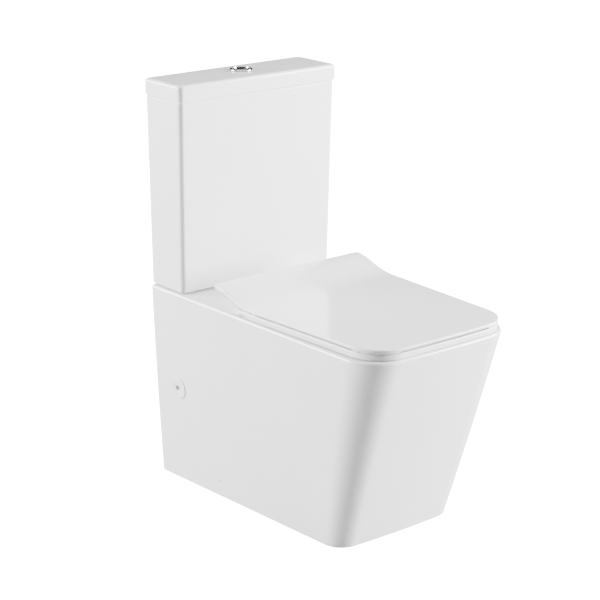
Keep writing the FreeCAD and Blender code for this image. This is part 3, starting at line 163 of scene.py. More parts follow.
def make_soft_box(name, place, target, size, power):
    """A rectangular lamp aimed at a point."""
    data = bpy.data.lights.new(name, "AREA")
    data.shape = "RECTANGLE"
    data.size, data.size_y = size
    data.energy = power
    lamp = bpy.data.objects.new(name, data)
    bpy.context.scene.collection.objects.link(lamp)
    lamp.location = place
    lamp.rotation_mode = "QUATERNION"
    lamp.rotation_quaternion = (Vector(target) - Vector(place)).to_track_quat("-Z", "Y")
    return lamp


make_floor()
make_sky()
for soft_box in SOFT_BOXES:
    make_soft_box(*soft_box)

# %% [markdown]
# ## Shared shader groups
# Two effects are used by nearly every finish. *Surface grain* is the fine, uneven skin that any
# moulded or fired surface has, and *handling marks* are large, faint patches where a surface is a
# little duller. Each is a node group that gives out only values, so that the shader itself, with its
# gloss, stays in the material where it can be seen.


# %% Node helpers
def link(tree, source, target):
    """Joins an output socket to an input socket."""
    tree.links.new(source, target)


def new_group(name, inputs, outputs):
    """An empty shader group with float inputs, given with their start values, and float outputs."""
    tree = bpy.data.node_groups.new(name, "ShaderNodeTree")
    for title, value in inputs:
        socket = tree.interface.new_socket(title, in_out="INPUT", socket_type="NodeSocketFloat")
        socket.default_value = value
    for title in outputs:
        tree.interface.new_socket(title, in_out="OUTPUT", socket_type="NodeSocketFloat")
    return tree, tree.nodes.new("NodeGroupInput"), tree.nodes.new("NodeGroupOutput")


def math_node(tree, operation, first, second):
    """A Math node on two sockets or numbers; its output socket."""
    node = tree.nodes.new("ShaderNodeMath")
    node.operation = operation
    for socket, value in zip(node.inputs, (first, second)):
        if isinstance(value, (int, float)):
            socket.default_value = value
        else:
            link(tree, value, socket)
    return node.outputs["Value"]


# %% Surface grain group
def make_grain_group():
    """Fine noise at a chosen size, from 0 to Strength, for a bump's height or a tint."""
    inputs = [("Grains per metre", 1060.0), ("Strength", 1.0)]
    tree, given, result = new_group("surface_grain", inputs, ["Grain"])
    place = tree.nodes.new("ShaderNodeTexCoord").outputs["Object"]
    fine = tree.nodes.new("ShaderNodeTexNoise")
    fine.inputs["Detail"].default_value = 3.0
    link(tree, place, fine.inputs["Vector"])
    link(tree, given.outputs["Grains per metre"], fine.inputs["Scale"])
    height = math_node(tree, "MULTIPLY", fine.outputs["Fac"], given.outputs["Strength"])
    link(tree, height, result.inputs["Grain"])
    return tree


grain_group = make_grain_group()
print("group:", grain_group.name)


# %% Handling marks group
def make_marks_group():
    """Large soft patches, with a little streak in them, between 0 and 1."""
    inputs = [("Patches per metre", 9.0), ("Contrast", 2.2)]
    tree, given, result = new_group("handling_marks", inputs, ["Marks"])
    place = tree.nodes.new("ShaderNodeTexCoord").outputs["Object"]
    patch = tree.nodes.new("ShaderNodeTexNoise")
    patch.inputs["Detail"].default_value = 4.0
    patch.inputs["Distortion"].default_value = 0.6
    link(tree, place, patch.inputs["Vector"])
    link(tree, given.outputs["Patches per metre"], patch.inputs["Scale"])
    spread = math_node(tree, "SUBTRACT", patch.outputs["Fac"], 0.5)
    spread = math_node(tree, "MULTIPLY", spread, given.outputs["Contrast"])
    spread = math_node(tree, "ADD", spread, 0.5)
    clamp = tree.nodes.new("ShaderNodeClamp")
    link(tree, spread, clamp.inputs["Value"])
    link(tree, clamp.outputs["Result"], result.inputs["Marks"])
    return tree


marks_group = make_marks_group()
print("group:", marks_group.name)

# %% [markdown]
# ## Finishes
# One recipe serves them all: two close colours mixed by the handling marks, a roughness that swings
# between two values by the same marks, and a bump from the grain. What makes china look like china
# and rubber like rubber is the numbers: colour, roughness, grain size, and a clear coat for a glaze.


# %% The recipe
COAT_ROUGHNESS = 0.05


def make_finish(name, colours, roughness, grain, bump, patches=9.0, metallic=0.0, coat=0.0, specular=0.5):
    """A material from two colours, two roughnesses, grains per metre and the grain's height in metres."""
    material = bpy.data.materials.new(name)
    material.use_nodes = True
    tree = material.node_tree
    shader = tree.nodes["Principled BSDF"]
    marks = tree.nodes.new("ShaderNodeGroup")
    marks.node_tree = marks_group
    marks.inputs["Patches per metre"].default_value = patches
    grains = tree.nodes.new("ShaderNodeGroup")
    grains.node_tree = grain_group
    grains.inputs["Grains per metre"].default_value = grain
    mix = tree.nodes.new("ShaderNodeMix")
    mix.data_type = "RGBA"
    mix.inputs[6].default_value = (*colours[0], 1.0)
    mix.inputs[7].default_value = (*colours[1], 1.0)
    link(tree, marks.outputs["Marks"], mix.inputs["Factor"])
    link(tree, mix.outputs[2], shader.inputs["Base Color"])
    spread = tree.nodes.new("ShaderNodeMapRange")
    spread.inputs["To Min"].default_value = roughness[0]
    spread.inputs["To Max"].default_value = roughness[1]
    link(tree, marks.outputs["Marks"], spread.inputs["Value"])
    link(tree, spread.outputs["Result"], shader.inputs["Roughness"])
    relief = tree.nodes.new("ShaderNodeBump")
    relief.inputs["Strength"].default_value = 1.0
    relief.inputs["Distance"].default_value = bump
    link(tree, grains.outputs["Grain"], relief.inputs["Height"])
    link(tree, relief.outputs["Normal"], shader.inputs["Normal"])
    shader.inputs["Metallic"].default_value = metallic
    shader.inputs["Specular IOR Level"].default_value = specular
    shader.inputs["Coat Weight"].default_value = coat
    shader.inputs["Coat Roughness"].default_value = COAT_ROUGHNESS
    return material


# %% The toilet's finishes
glazed_china = make_finish("glazed_china", ((0.80, 0.80, 0.795), (0.83, 0.83, 0.83)), (0.10, 0.14),
                           60.0, 0.00004, coat=0.35)
seat_plastic = make_finish("seat_plastic", ((0.80, 0.80, 0.80), (0.825, 0.825, 0.83)), (0.13, 0.18),
                           90.0, 0.00003, coat=0.25)
chrome_plate = make_finish("chrome_plate", ((0.62, 0.63, 0.65), (0.72, 0.73, 0.75)), (0.06, 0.14),
                           2200.0, 0.000008, patches=60.0, metallic=1.0)
valve_plastic = make_finish("valve_plastic", ((0.70, 0.72, 0.74), (0.78, 0.79, 0.80)), (0.32, 0.45),
                            1600.0, 0.00003, patches=30.0)
grey_plastic = make_finish("grey_plastic", ((0.16, 0.17, 0.19), (0.21, 0.22, 0.24)), (0.38, 0.52),
                           1600.0, 0.00004, patches=30.0)
black_rubber = make_finish("black_rubber", ((0.018, 0.018, 0.02), (0.035, 0.035, 0.037)), (0.6, 0.8),
                           1100.0, 0.00008, patches=25.0)
buffer_rubber = make_finish("buffer_rubber", ((0.62, 0.63, 0.64), (0.70, 0.71, 0.72)), (0.5, 0.62),
                            1300.0, 0.00005, patches=40.0)
zinc_steel = make_finish("zinc_steel", ((0.46, 0.47, 0.49), (0.60, 0.61, 0.62)), (0.22, 0.42),
                         2600.0, 0.00001, patches=90.0, metallic=1.0)
# near-black steel that is painted shade: it stands for the shadow inside the pan's screw holes
painted_hole_shade = make_finish("painted_hole_shade", ((0.012, 0.012, 0.014), (0.03, 0.03, 0.033)), (0.35, 0.5),
                         2600.0, 0.00001, patches=90.0, specular=0.2)
cap_plastic = make_finish("cap_plastic", ((0.78, 0.78, 0.78), (0.81, 0.81, 0.815)), (0.16, 0.24),
                          1500.0, 0.00002, patches=40.0)
FINISHES = {"china": glazed_china, "seat_plastic": seat_plastic, "chrome": chrome_plate,
            "valve_plastic": valve_plastic, "grey_plastic": grey_plastic, "rubber": black_rubber,
            "buffer_rubber": buffer_rubber, "steel": zinc_steel, "cap_plastic": cap_plastic}
print("finishes:", ", ".join(sorted(FINISHES)))

# %% [markdown]
# ## Rings into a casting
# China pieces are slip cast, so every wall runs smoothly from one outline to the next. The same idea
# makes the mesh: an outline is a ring of points, always with the same count, and a casting is a stack
# of rings joined by quads. Quads that follow the form shade far more evenly than the loose triangles
# of a CAD export, which matters most on a glossy surface.

# %% Outlines
BACK_STEPS = 6        # quads along half the back edge
SIDE_STEPS = 40
FRONT_STEPS = 14      # along half the front
CORNER_STEPS = 14


def wall_y(depth):
    """Y of a depth measured forwards from the wall."""
    return cad_high.y - depth


def line(first, last, steps):
    """Points from first up to, but without, last."""
    return [first.lerp(last, i / steps) for i in range(steps)]


def arc(centre, radius, start, end, steps):
    """Points of an arc between two angles, without the last one."""
    turns = [start + (end - start) * i / steps for i in range(steps)]
    return [centre + Vector((math.cos(a), math.sin(a))) * radius for a in turns]


def outline(half_back, half_front, back, front, back_corner, front_corner, bow):
    """Half an outline as (x, depth) points: flat back, leaning side, rounded corners, bowed front."""
    side_back, side_front = Vector((half_back, back)), Vector((half_front, front))
    along = (side_front - side_back).normalized()
    inward = Vector((-along.y, along.x))
    lean = math.atan2(-along.x, along.y)
    reach = back_corner * (1.0 - math.sin(lean)) / math.cos(lean)
    back_centre = Vector((half_back, back)) + Vector((-reach, back_corner))
    shift = (back_centre - side_back).dot(inward) - back_corner
    back_centre.x += shift / math.cos(lean)
    bow_radius = (half_front ** 2 + bow ** 2) / (2.0 * bow)
    bow_centre = Vector((0.0, front + bow - bow_radius))
    start = side_back + inward * front_corner - bow_centre
    b = start.dot(along)
    c = start.dot(start) - (bow_radius - front_corner) ** 2
    front_centre = bow_centre + start + along * (math.sqrt(b * b - c) - b)
    side_angle = math.atan2(-inward.y, -inward.x)
    bow_direction = (front_centre - bow_centre).normalized()
    bow_angle = math.atan2(bow_direction.y, bow_direction.x)
    first_side = back_centre - inward * back_corner
    last_side = front_centre - inward * front_corner
    points = line(Vector((0.0, back)), Vector((back_centre.x, back)), BACK_STEPS)
    points += arc(back_centre, back_corner, -math.pi / 2, side_angle, CORNER_STEPS)
    points += line(first_side, last_side, SIDE_STEPS)
    points += arc(front_centre, front_corner, side_angle, bow_angle, CORNER_STEPS)
    points += arc(bow_centre, bow_radius, bow_angle, math.pi / 2, FRONT_STEPS)
    return points + [Vector((0.0, front + bow))]


def full_ring(half_points, z):
    """A closed ring at one height, from half an outline and its mirror image."""
    right = [Vector((p.x, wall_y(p.y), z)) for p in half_points]
    left = [Vector((-p.x, wall_y(p.y), z)) for p in reversed(half_points[1:-1])]
    return right + left


def stack(name, rings):
    """A mesh of quads through a list of rings, with a cap on each end."""
    bm = bmesh.new()
    rows = [[bm.verts.new(p) for p in ring] for ring in rings]
    for low, high in zip(rows, rows[1:]):
        for i in range(len(low)):
            j = (i + 1) % len(low)
            bm.faces.new((low[i], low[j], high[j], high[i]))
    bm.faces.new(list(reversed(rows[0])))
    bm.faces.new(rows[-1])
    bmesh.ops.recalc_face_normals(bm, faces=bm.faces)
    mesh = bpy.data.meshes.new(name)
    bm.to_mesh(mesh)
    bm.free()
    obj = bpy.data.objects.new(name, mesh)
    bpy.context.scene.collection.objects.link(obj)
    return obj


def quarter(steps):
    """Pairs of shares (in, up) round a quarter circle, from the wall to the top."""
    turns = [math.pi / 2 * i / steps for i in range(steps + 1)]
    return [(1.0 - math.cos(a), math.sin(a)) for a in turns]


print("points in a ring:", len(full_ring(outline(0.19, 0.18, 0, 0.66, 0.01, 0.07, 0.005), 0)))

# %% [markdown]
# ## Cutting holes
# Holes are drilled in the soft clay before firing. Here each is a cutter, all cutters of a casting are
# joined, and one exact Boolean takes them away. The result is made a plain mesh at once, so that no
# live Boolean is left on the piece.


# %% Cutters and the Boolean
FACE_WEIGHT = 60        # how far large faces rule the shading, out of 100


def round_cutter(place, direction, radius, length, sides=48):
    """A cylinder that starts at a place and runs along a direction."""
    bm = bmesh.new()
    bmesh.ops.create_cone(bm, cap_ends=True, segments=sides, radius1=radius, radius2=radius, depth=length)
    turn = Vector(direction).to_track_quat("Z", "Y").to_matrix().to_4x4()
    middle = Vector(place) + Vector(direction).normalized() * length / 2
    bmesh.ops.transform(bm, matrix=Matrix.Translation(middle) @ turn, verts=bm.verts)
    return bm


def box_cutter(low, high):
    """A box between two corners."""
    bm = bmesh.new()
    bmesh.ops.create_cube(bm, size=1.0)
    low, high = Vector(low), Vector(high)
    size = Matrix.Diagonal((*(high - low), 1.0))
    bmesh.ops.transform(bm, matrix=Matrix.Translation((low + high) / 2) @ size, verts=bm.verts)
    return bm


def object_from(name, parts):
    """One object from several bmeshes, which are freed."""
    mesh = bpy.data.meshes.new(name)
    whole = bmesh.new()
    for part in parts:
        part.to_mesh(mesh)
        part.free()
        whole.from_mesh(mesh)
    whole.to_mesh(mesh)
    whole.free()
    obj = bpy.data.objects.new(name, mesh)
    bpy.context.scene.collection.objects.link(obj)
    return obj


def settle(obj):
    """Applies every modifier by reading the evaluated mesh back, then removes them."""
    bpy.context.view_layer.update()
    depsgraph = bpy.context.evaluated_depsgraph_get()
    mesh = bpy.data.meshes.new_from_object(obj.evaluated_get(depsgraph), depsgraph=depsgraph)
    mesh.name = obj.name
    obj.modifiers.clear()
    obj.data = mesh
    return obj


def cut(obj, cutter):
    """Takes the cutter's volume away and removes the cutter."""
    boolean = obj.modifiers.new("holes", "BOOLEAN")
    boolean.operation = "DIFFERENCE"
    boolean.solver = "EXACT"
    boolean.object = cutter
    settle(obj)
    bpy.data.objects.remove(cutter)
    return obj


def smooth(obj, degrees):
    """Smooth shading that keeps edges sharper than an angle, with normals that favour large faces."""
    obj.data.shade_smooth()
    obj.data.set_sharp_from_angle(angle=math.radians(degrees))
    weighted = obj.modifiers.new("even_shading", "WEIGHTED_NORMAL")
    weighted.keep_sharp = True
    weighted.weight = FACE_WEIGHT
    return obj


def hand_over(obj, body, slot, *replaced):
    """Gives a finished piece its body, its finish and the CAD nodes that it stands for."""
    obj.data.materials.clear()
    obj.data.materials.append(FINISHES[slot])
    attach(obj, body)
    if replaced:
        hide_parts(*replaced)
    print(obj.name, len(obj.data.polygons), "faces, on", body)
    return obj


# %% [markdown]
# ## Pan
# The pan is one casting: a skirt that leans in towards the floor, a deck, and a bowl without a rim
# channel. The outside and the bowl's inside are one stack of rings, from the foot up, over the edge,
# across the deck and down to the sump. A second stack, the core, is the hollow underneath. Taking the
# core from the outside leaves china of an even thickness, as slip casting does.

# %% Pan sizes
pan_low, pan_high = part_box("pan")
PAN_TOP = pan_high.z
PAN_DEPTH = pan_high.y - pan_low.y
PAN_TOP_HALVES = (192 * MM, 181 * MM)       # half width at the wall and at the front corner
PAN_FLOOR_HALVES = (174 * MM, 146 * MM)
PAN_SETBACK = 124 * MM
PAN_LIP = 1.7 * MM
PAN_BOW = 5 * MM
PAN_SWELL = 0.35
PAN_CORNERS = (42 * MM, 72 * MM)            # front corner at the floor and at the top
PAN_BACK_CORNER = 10 * MM
PAN_EDGE = 5.0 * MM
PAN_EDGE_DROP = 5.8 * MM
CHINA = 12 * MM
DECK = 14 * MM
MOUTH_EDGE = 7 * MM
BOWL_WALL = 11 * MM
BOWL_HALF = 138 * MM
BOWL_BACK = 264 * MM
BOWL_FRONT = PAN_DEPTH - 40 * MM
BOWL_CORNER = 88 * MM
BOWL_DEPTH = 226 * MM
SUMP_HALF = 40 * MM
SUMP_BACK = 318 * MM
SUMP_FRONT = 412 * MM
SUMP_CORNER = 30 * MM
SUMP_SAG = 4 * MM
SKIRT_RINGS = 40
EDGE_RINGS = 8
DECK_RINGS = 8
BOWL_RINGS = 34
CORE_RINGS = 12
CORE_BELOW = 5 * MM                         # how far the core starts under the floor
CORE_CORNER = 2 * MM
CHINA_SMOOTH = 34                           # degrees; sharper edges stay edges


def mix(low, high, share):
    """The value a share of the way from low to high."""
    return low + (high - low) * share


def skirt_points(z, inset, back, back_corner):
    """The skirt's outline at a height, moved in by an inset."""
    share = z / PAN_TOP
    swollen = share + PAN_SWELL * share * (1.0 - share)
    half_back = mix(PAN_FLOOR_HALVES[0], PAN_TOP_HALVES[0], swollen) - inset
    half_front = mix(PAN_FLOOR_HALVES[1], PAN_TOP_HALVES[1], swollen) - inset
    front = PAN_DEPTH + PAN_LIP - PAN_BOW - (PAN_SETBACK + PAN_LIP) * (1.0 - share) - inset
    corner = mix(PAN_CORNERS[0], PAN_CORNERS[1], share) - inset
    return outline(half_back, half_front, back, front, back_corner, corner, PAN_BOW)


def taper(drop):
    """How far the bowl has closed in at a share of its depth: steep walls, then a funnel to the sump."""
    return 0.2 * drop + 0.8 * drop ** 2


def bowl_points(drop, grow):
    """The bowl's outline at a share of its depth, moved out by grow."""
    share = taper(drop)
    half = mix(BOWL_HALF, SUMP_HALF, share) + grow
    back = mix(BOWL_BACK, SUMP_BACK, share) - grow
    front = mix(BOWL_FRONT, SUMP_FRONT, share) + grow - PAN_BOW
    corner = mix(BOWL_CORNER, SUMP_CORNER, share) + grow
    return outline(half, half, back, front, corner, corner, PAN_BOW)


# %% Pan outside and bowl
def pan_outside():
    """Rings from the foot, over the deck, to the bottom of the sump."""
    shoulder = PAN_TOP - PAN_EDGE_DROP
    heights = [shoulder * i / SKIRT_RINGS for i in range(SKIRT_RINGS + 1)]
    rings = [full_ring(skirt_points(z, 0.0, 0.0, PAN_BACK_CORNER), z) for z in heights]
    for inward, up in quarter(EDGE_RINGS)[1:]:
        points = skirt_points(shoulder, PAN_EDGE * inward, PAN_EDGE * inward, PAN_BACK_CORNER)
        rings.append(full_ring(points, shoulder + PAN_EDGE_DROP * up))
    deck_edge = rings[-1]
    mouth = full_ring(bowl_points(0.0, MOUTH_EDGE), PAN_TOP)
    for i in range(1, DECK_RINGS):
        rings.append([a.lerp(b, i / DECK_RINGS) for a, b in zip(deck_edge, mouth)])
    for inward, up in reversed(quarter(EDGE_RINGS)):
        rings.append(full_ring(bowl_points(0.0, MOUTH_EDGE * inward), PAN_TOP - MOUTH_EDGE * (1.0 - up)))
    start = MOUTH_EDGE / BOWL_DEPTH
    for i in range(1, BOWL_RINGS + 1):
        drop = mix(start, 1.0, i / BOWL_RINGS)
        rings.append(full_ring(bowl_points(drop, 0.0), PAN_TOP - BOWL_DEPTH * drop))
    floor_ring = rings[-1]
    centre = sum(floor_ring, Vector()) / len(floor_ring)
    for share in (0.25, 0.5, 0.75, 0.93):
        sag = Vector((0.0, 0.0, -SUMP_SAG * math.sin(share * math.pi / 2)))
        rings.append([p.lerp(centre, share) + sag for p in floor_ring])
    return stack("pan_china", rings)


def pan_core():
    """The hollow under the deck and round the bowl, open at the floor and at the back."""
    top = PAN_TOP - DECK
    heights = [mix(-CORE_BELOW, top, i / CORE_RINGS) for i in range(CORE_RINGS + 1)]
    rings = [full_ring(skirt_points(max(z, 0.0), CHINA, -CHINA, CORE_CORNER), z) for z in heights]
    depth = BOWL_DEPTH + BOWL_WALL
    first = DECK / depth
    for i in range(BOWL_RINGS + 1):
        drop = mix(first, 1.0, i / BOWL_RINGS)
        inside_drop = min(1.0, drop * depth / BOWL_DEPTH)
        rings.append(full_ring(bowl_points(inside_drop, BOWL_WALL), PAN_TOP - depth * drop))
    return stack("pan_core", rings)


pan_china = pan_outside()
cut(pan_china, pan_core())
print("pan faces:", len(pan_china.data.polygons))

# %% [markdown]
# ## Holes in the pan
# The deck has the flush inlet with its recess, a hole for the supply, two for the bolts that hold the
# cistern and two for the seat. A slot at the back lets the flush into the bowl, the sump opens into
# the trap, and each side has a capped fixing hole and a small screw hole near the floor.

# %% Pan holes
VALVE_D = 59 * MM
COUPLING_X = 75 * MM
HINGE_X = 77.5 * MM
HINGE_D = 215 * MM
OVER = 20 * MM                              # how far a cutter runs past the china
INLET_HOLE = 47 * MM                        # radii of the holes
SUPPLY_HOLE = 22 * MM
BOLT_HOLE = 5.5 * MM
HINGE_HOLE = 6.5 * MM
FILL_NUT = 17 * MM
FILL_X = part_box("fill_valve_backnut")[0].x + FILL_NUT
SLOT_HALF = 48 * MM                         # flush slot at the back of the bowl
SLOT_DEPTHS = (246 * MM, 276 * MM)
SLOT_HEIGHTS = (352 * MM, 376 * MM)
TRAP_MOUTH = (376 * MM, 195 * MM)           # depth and height of two points on the trap's line
TRAP_THROAT = (307 * MM, 146 * MM)
TRAP_BORE = 28 * MM
TRAP_REACH = 110 * MM
SIDE_START = 3 * MM
# depth, height, radius and reach of the cap's recess, the screw head's and the screw's
SIDE_HOLES = ((79 * MM, 204 * MM, 19.8 * MM, 30 * MM),
              (195 * MM, 34 * MM, 4.2 * MM, 7 * MM),
              (195 * MM, 34 * MM, 2.0 * MM, 20 * MM))


def side_place(depth, z):
    """A point on the right side of the skirt and the direction square to it."""
    step = 1 * MM

    def half(d, height):
        points = skirt_points(height, 0.0, 0.0, PAN_BACK_CORNER)
        back, front = points[BACK_STEPS + CORNER_STEPS], points[BACK_STEPS + CORNER_STEPS + SIDE_STEPS]
        return mix(back.x, front.x, (d - back.y) / (front.y - back.y))

    here = Vector((half(depth, z), wall_y(depth), z))
    forwards = Vector((half(depth + step, z), wall_y(depth + step), z)) - here
    upwards = Vector((half(depth, z + step), wall_y(depth), z + step)) - here
    normal = upwards.cross(forwards).normalized()
    return here, normal if normal.x > 0 else -normal


def mirrored(vector):
    """The same vector on the other side of X = 0."""
    return Vector((-vector.x, vector.y, vector.z))


def deck_cutter(x, depth, radius, sides=48):
    """A round hole straight down through the deck."""
    return round_cutter((x, wall_y(depth), PAN_TOP + OVER), (0, 0, -1), radius, 2 * OVER + DECK, sides)


def pan_holes():
    """Every hole of the pan as one cutter."""
    cutters = [deck_cutter(0.0, VALVE_D, INLET_HOLE, 96), deck_cutter(FILL_X, VALVE_D, SUPPLY_HOLE, 64)]
    for x in (-COUPLING_X, COUPLING_X):
        cutters.append(deck_cutter(x, VALVE_D, BOLT_HOLE))
    for x in (-HINGE_X, HINGE_X):
        cutters.append(deck_cutter(x, HINGE_D, HINGE_HOLE))
    cutters.append(box_cutter((-SLOT_HALF, wall_y(SLOT_DEPTHS[1]), SLOT_HEIGHTS[0]),
                              (SLOT_HALF, wall_y(SLOT_DEPTHS[0]), SLOT_HEIGHTS[1])))
    mouth = Vector((0.0, wall_y(TRAP_MOUTH[0]), TRAP_MOUTH[1]))
    throat = Vector((0.0, wall_y(TRAP_THROAT[0]), TRAP_THROAT[1]))
    cutters.append(round_cutter(mouth, throat - mouth, TRAP_BORE, TRAP_REACH, 64))
    for turn in (lambda v: v, mirrored):
        for depth, z, radius, reach in SIDE_HOLES:
            place, normal = side_place(depth, z)
            start = place + normal * SIDE_START
            cutters.append(round_cutter(turn(start), turn(-normal), radius, reach + SIDE_START))
    return object_from("pan_holes", cutters)


cut(pan_china, pan_holes())
smooth(pan_china, CHINA_SMOOTH)
hand_over(pan_china, "root", "china", "pan", "pan_bowl")

# %% [markdown]
# ## Cistern
# The cistern is a tall box of china that widens a little towards its rim. It is the same kind of
# stack: from the middle of its underside, round the rounded foot, up the outside, over the rim and
# down the inside to its floor.

# %% Cistern
cistern_low, cistern_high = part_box("cistern")
CISTERN_HALVES = (188.3 * MM, 193 * MM)     # half width at the foot and at the rim
CISTERN_FRONTS = (110 * MM, 120 * MM)       # depth at the foot and at the rim
CISTERN_CORNER = 10 * MM
CISTERN_INNER_CORNER = 4 * MM
CISTERN_WALL = 9 * MM
CISTERN_FLOOR = 12 * MM
CISTERN_EDGE = 4 * MM
CISTERN_BOW = 1 * MM
RIM_EDGE = 1.5 * MM
VALVE_HOLE = 31.5 * MM
FILL_HOLE = 11.2 * MM
CISTERN_RINGS = 24
INSIDE_RINGS = 12


def cistern_points(z, inset, back, corner):
    """The cistern's outline at a height, moved in by an inset."""
    share = (z - cistern_low.z) / (cistern_high.z - cistern_low.z)
    half = mix(CISTERN_HALVES[0], CISTERN_HALVES[1], share) - inset
    front = mix(CISTERN_FRONTS[0], CISTERN_FRONTS[1], share) - CISTERN_BOW - inset
    return outline(half, half, back, front, corner, corner, CISTERN_BOW)


def make_cistern():
    """Underside, foot, outside, rim, inside and floor, in one stack."""
    foot, rim = cistern_low.z, cistern_high.z
    floor_z = foot + CISTERN_FLOOR
    rings = []
    for inward, up in reversed(quarter(7)):
        inset = CISTERN_EDGE * inward
        z = foot + CISTERN_EDGE * (1.0 - up)
        rings.append(full_ring(cistern_points(z, inset, inset, CISTERN_CORNER - inset / 2), z))
    for i in range(1, CISTERN_RINGS + 1):
        z = mix(foot + CISTERN_EDGE, rim - RIM_EDGE, i / CISTERN_RINGS)
        rings.append(full_ring(cistern_points(z, 0.0, 0.0, CISTERN_CORNER), z))
    for inward, up in quarter(4)[1:]:
        inset = RIM_EDGE * inward
        points = cistern_points(rim, inset, inset, CISTERN_CORNER)
        rings.append(full_ring(points, rim - RIM_EDGE * (1.0 - up)))
    for i in range(INSIDE_RINGS + 1):
        z = mix(rim, floor_z, i / INSIDE_RINGS)
        rings.append(full_ring(cistern_points(z, CISTERN_WALL, CISTERN_WALL, CISTERN_INNER_CORNER), z))
    return stack("cistern_china", rings)


def cistern_holes():
    """Holes in the cistern's floor for the two valves and the two bolts."""
    start = cistern_low.z - OVER
    length = 2 * OVER + CISTERN_FLOOR
    holes = ((0.0, VALVE_HOLE), (FILL_X, FILL_HOLE), (-COUPLING_X, BOLT_HOLE), (COUPLING_X, BOLT_HOLE))
    return object_from("cistern_holes", [
        round_cutter((x, wall_y(VALVE_D), start), (0, 0, 1), radius, length, 72) for x, radius in holes])


cistern_china = make_cistern()
cut(cistern_china, cistern_holes())
smooth(cistern_china, CHINA_SMOOTH)
hand_over(cistern_china, "root", "china", "cistern")

# %% [markdown]
# ## Cistern lid
# The lid is a shallow tray of china, upside down. Its top edge has a generous rounding that catches a
# long highlight, and a lip inside keeps it from sliding off. Its foot is stepped back all round, which
# leaves a thin dark line above the cistern. Its top crowns by a hair, because a dead flat glazed plate
# would look like a mirror.

# %% Cistern lid
lid_low, lid_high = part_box("cistern_lid")
LID_HALF = lid_high.x
LID_FRONT = lid_high.y - lid_low.y
LID_LIP = 6 * MM
LID_FOOT = lid_low.z + LID_LIP
LID_EDGE = 6 * MM
LID_FOOT_EDGE = 1 * MM
SEAM_HEIGHT = 3.2 * MM      # shadow gap between the lid and the cistern
SEAM_DEPTH = 5 * MM
LID_SKIRT = 8 * MM
LID_PLATE = 12 * MM
LID_CORNER = 10 * MM
LID_INNER_CORNER = 7 * MM
LID_LIP_INSET = 11 * MM
LID_LIP_WALL = 4 * MM
LID_CROWN = 0.3 * MM
LID_SIDE_RINGS = 6
LID_TOP_SHARE = 0.85        # how near the lid's middle the first ring of its top starts
BUTTON_HOLE = 19.6 * MM


def lid_ring(inset, z, corner):
    """The lid's outline, moved in by an inset, at a height."""
    half = LID_HALF - inset
    front = LID_FRONT - CISTERN_BOW - inset
    return full_ring(outline(half, half, inset, front, corner, corner, CISTERN_BOW), z)


def make_cistern_lid():
    """From the top's middle, over the edge, down the side and round the lip to the inside."""
    top, under = lid_high.z, lid_high.z - LID_PLATE
    rings = []
    outer = [lid_ring(LID_EDGE * inward, top - LID_CROWN - LID_EDGE * (1.0 - up), LID_CORNER)
             for inward, up in quarter(9)]
    for share in (0.9, 0.72, 0.54, 0.36, 0.18):
        inset = LID_EDGE + share * LID_TOP_SHARE * LID_FRONT / 2
        height = top - LID_CROWN * (1.0 - share) ** 2
        rings.append(lid_ring(inset, height, LID_CORNER * (1.0 - share / 2)))
    rings += reversed(outer)
    brim = LID_FOOT + SEAM_HEIGHT
    for i in range(1, LID_SIDE_RINGS + 1):
        height = mix(top - LID_CROWN - LID_EDGE, brim + LID_FOOT_EDGE, i / LID_SIDE_RINGS)
        rings.append(lid_ring(0.0, height, LID_CORNER))
    for inward, up in quarter(4)[1:]:
        rings.append(lid_ring(LID_FOOT_EDGE * inward, brim + LID_FOOT_EDGE * (1.0 - up), LID_CORNER))
    rings.append(lid_ring(SEAM_DEPTH, brim, LID_INNER_CORNER))
    rings.append(lid_ring(SEAM_DEPTH, LID_FOOT, LID_INNER_CORNER))
    rings.append(lid_ring(LID_SKIRT, LID_FOOT, LID_INNER_CORNER))
    rings.append(lid_ring(LID_SKIRT, under, LID_INNER_CORNER))
    lip_inset = LID_LIP_INSET + (LID_HALF - CISTERN_HALVES[1])
    rings.append(lid_ring(lip_inset, under, LID_INNER_CORNER))
    rings.append(lid_ring(lip_inset, lid_low.z, LID_INNER_CORNER))
    rings.append(lid_ring(lip_inset + LID_LIP_WALL, lid_low.z, LID_INNER_CORNER / 2))
    rings.append(lid_ring(lip_inset + LID_LIP_WALL, under, LID_INNER_CORNER / 2))
    return stack("cistern_lid_china", rings)


cistern_lid = make_cistern_lid()
lid_cut = lid_high.z - lid_low.z + 2 * OVER
button_hole = round_cutter((0, wall_y(VALVE_D), lid_low.z), (0, 0, 1), BUTTON_HOLE, lid_cut, 96)
cut(cistern_lid, object_from("button_hole", [button_hole]))
smooth(cistern_lid, CHINA_SMOOTH)
hand_over(cistern_lid, "cistern_cover", "china", "cistern_lid")

# %% [markdown]
# ## Seat, lid and trim
# The moulded and turned pieces already have their shape in the CAD model. Its meshes come as loose
# triangles, which would show as facets on anything glossy. So each one is copied, its doubled points
# are merged, and its normals are made to follow the large faces, which gives clean soft edges.


# %% Polished copies
MERGE = 0.01 * MM
SLIVER = 0.002 * MM


def polished(name, node, body, slot, degrees=32):
    """A smooth-shaded copy of a CAD node that stands for it."""
    bm = bmesh.new()
    bm.from_mesh(nodes[node].data)
    bmesh.ops.remove_doubles(bm, verts=bm.verts, dist=MERGE)
    bmesh.ops.dissolve_degenerate(bm, edges=bm.edges, dist=SLIVER)
    mesh = bpy.data.meshes.new(name)
    bm.to_mesh(mesh)
    bm.free()
    obj = bpy.data.objects.new(name, mesh)
    bpy.context.scene.collection.objects.link(obj)
    smooth(obj, degrees)
    return hand_over(obj, body, slot, node)


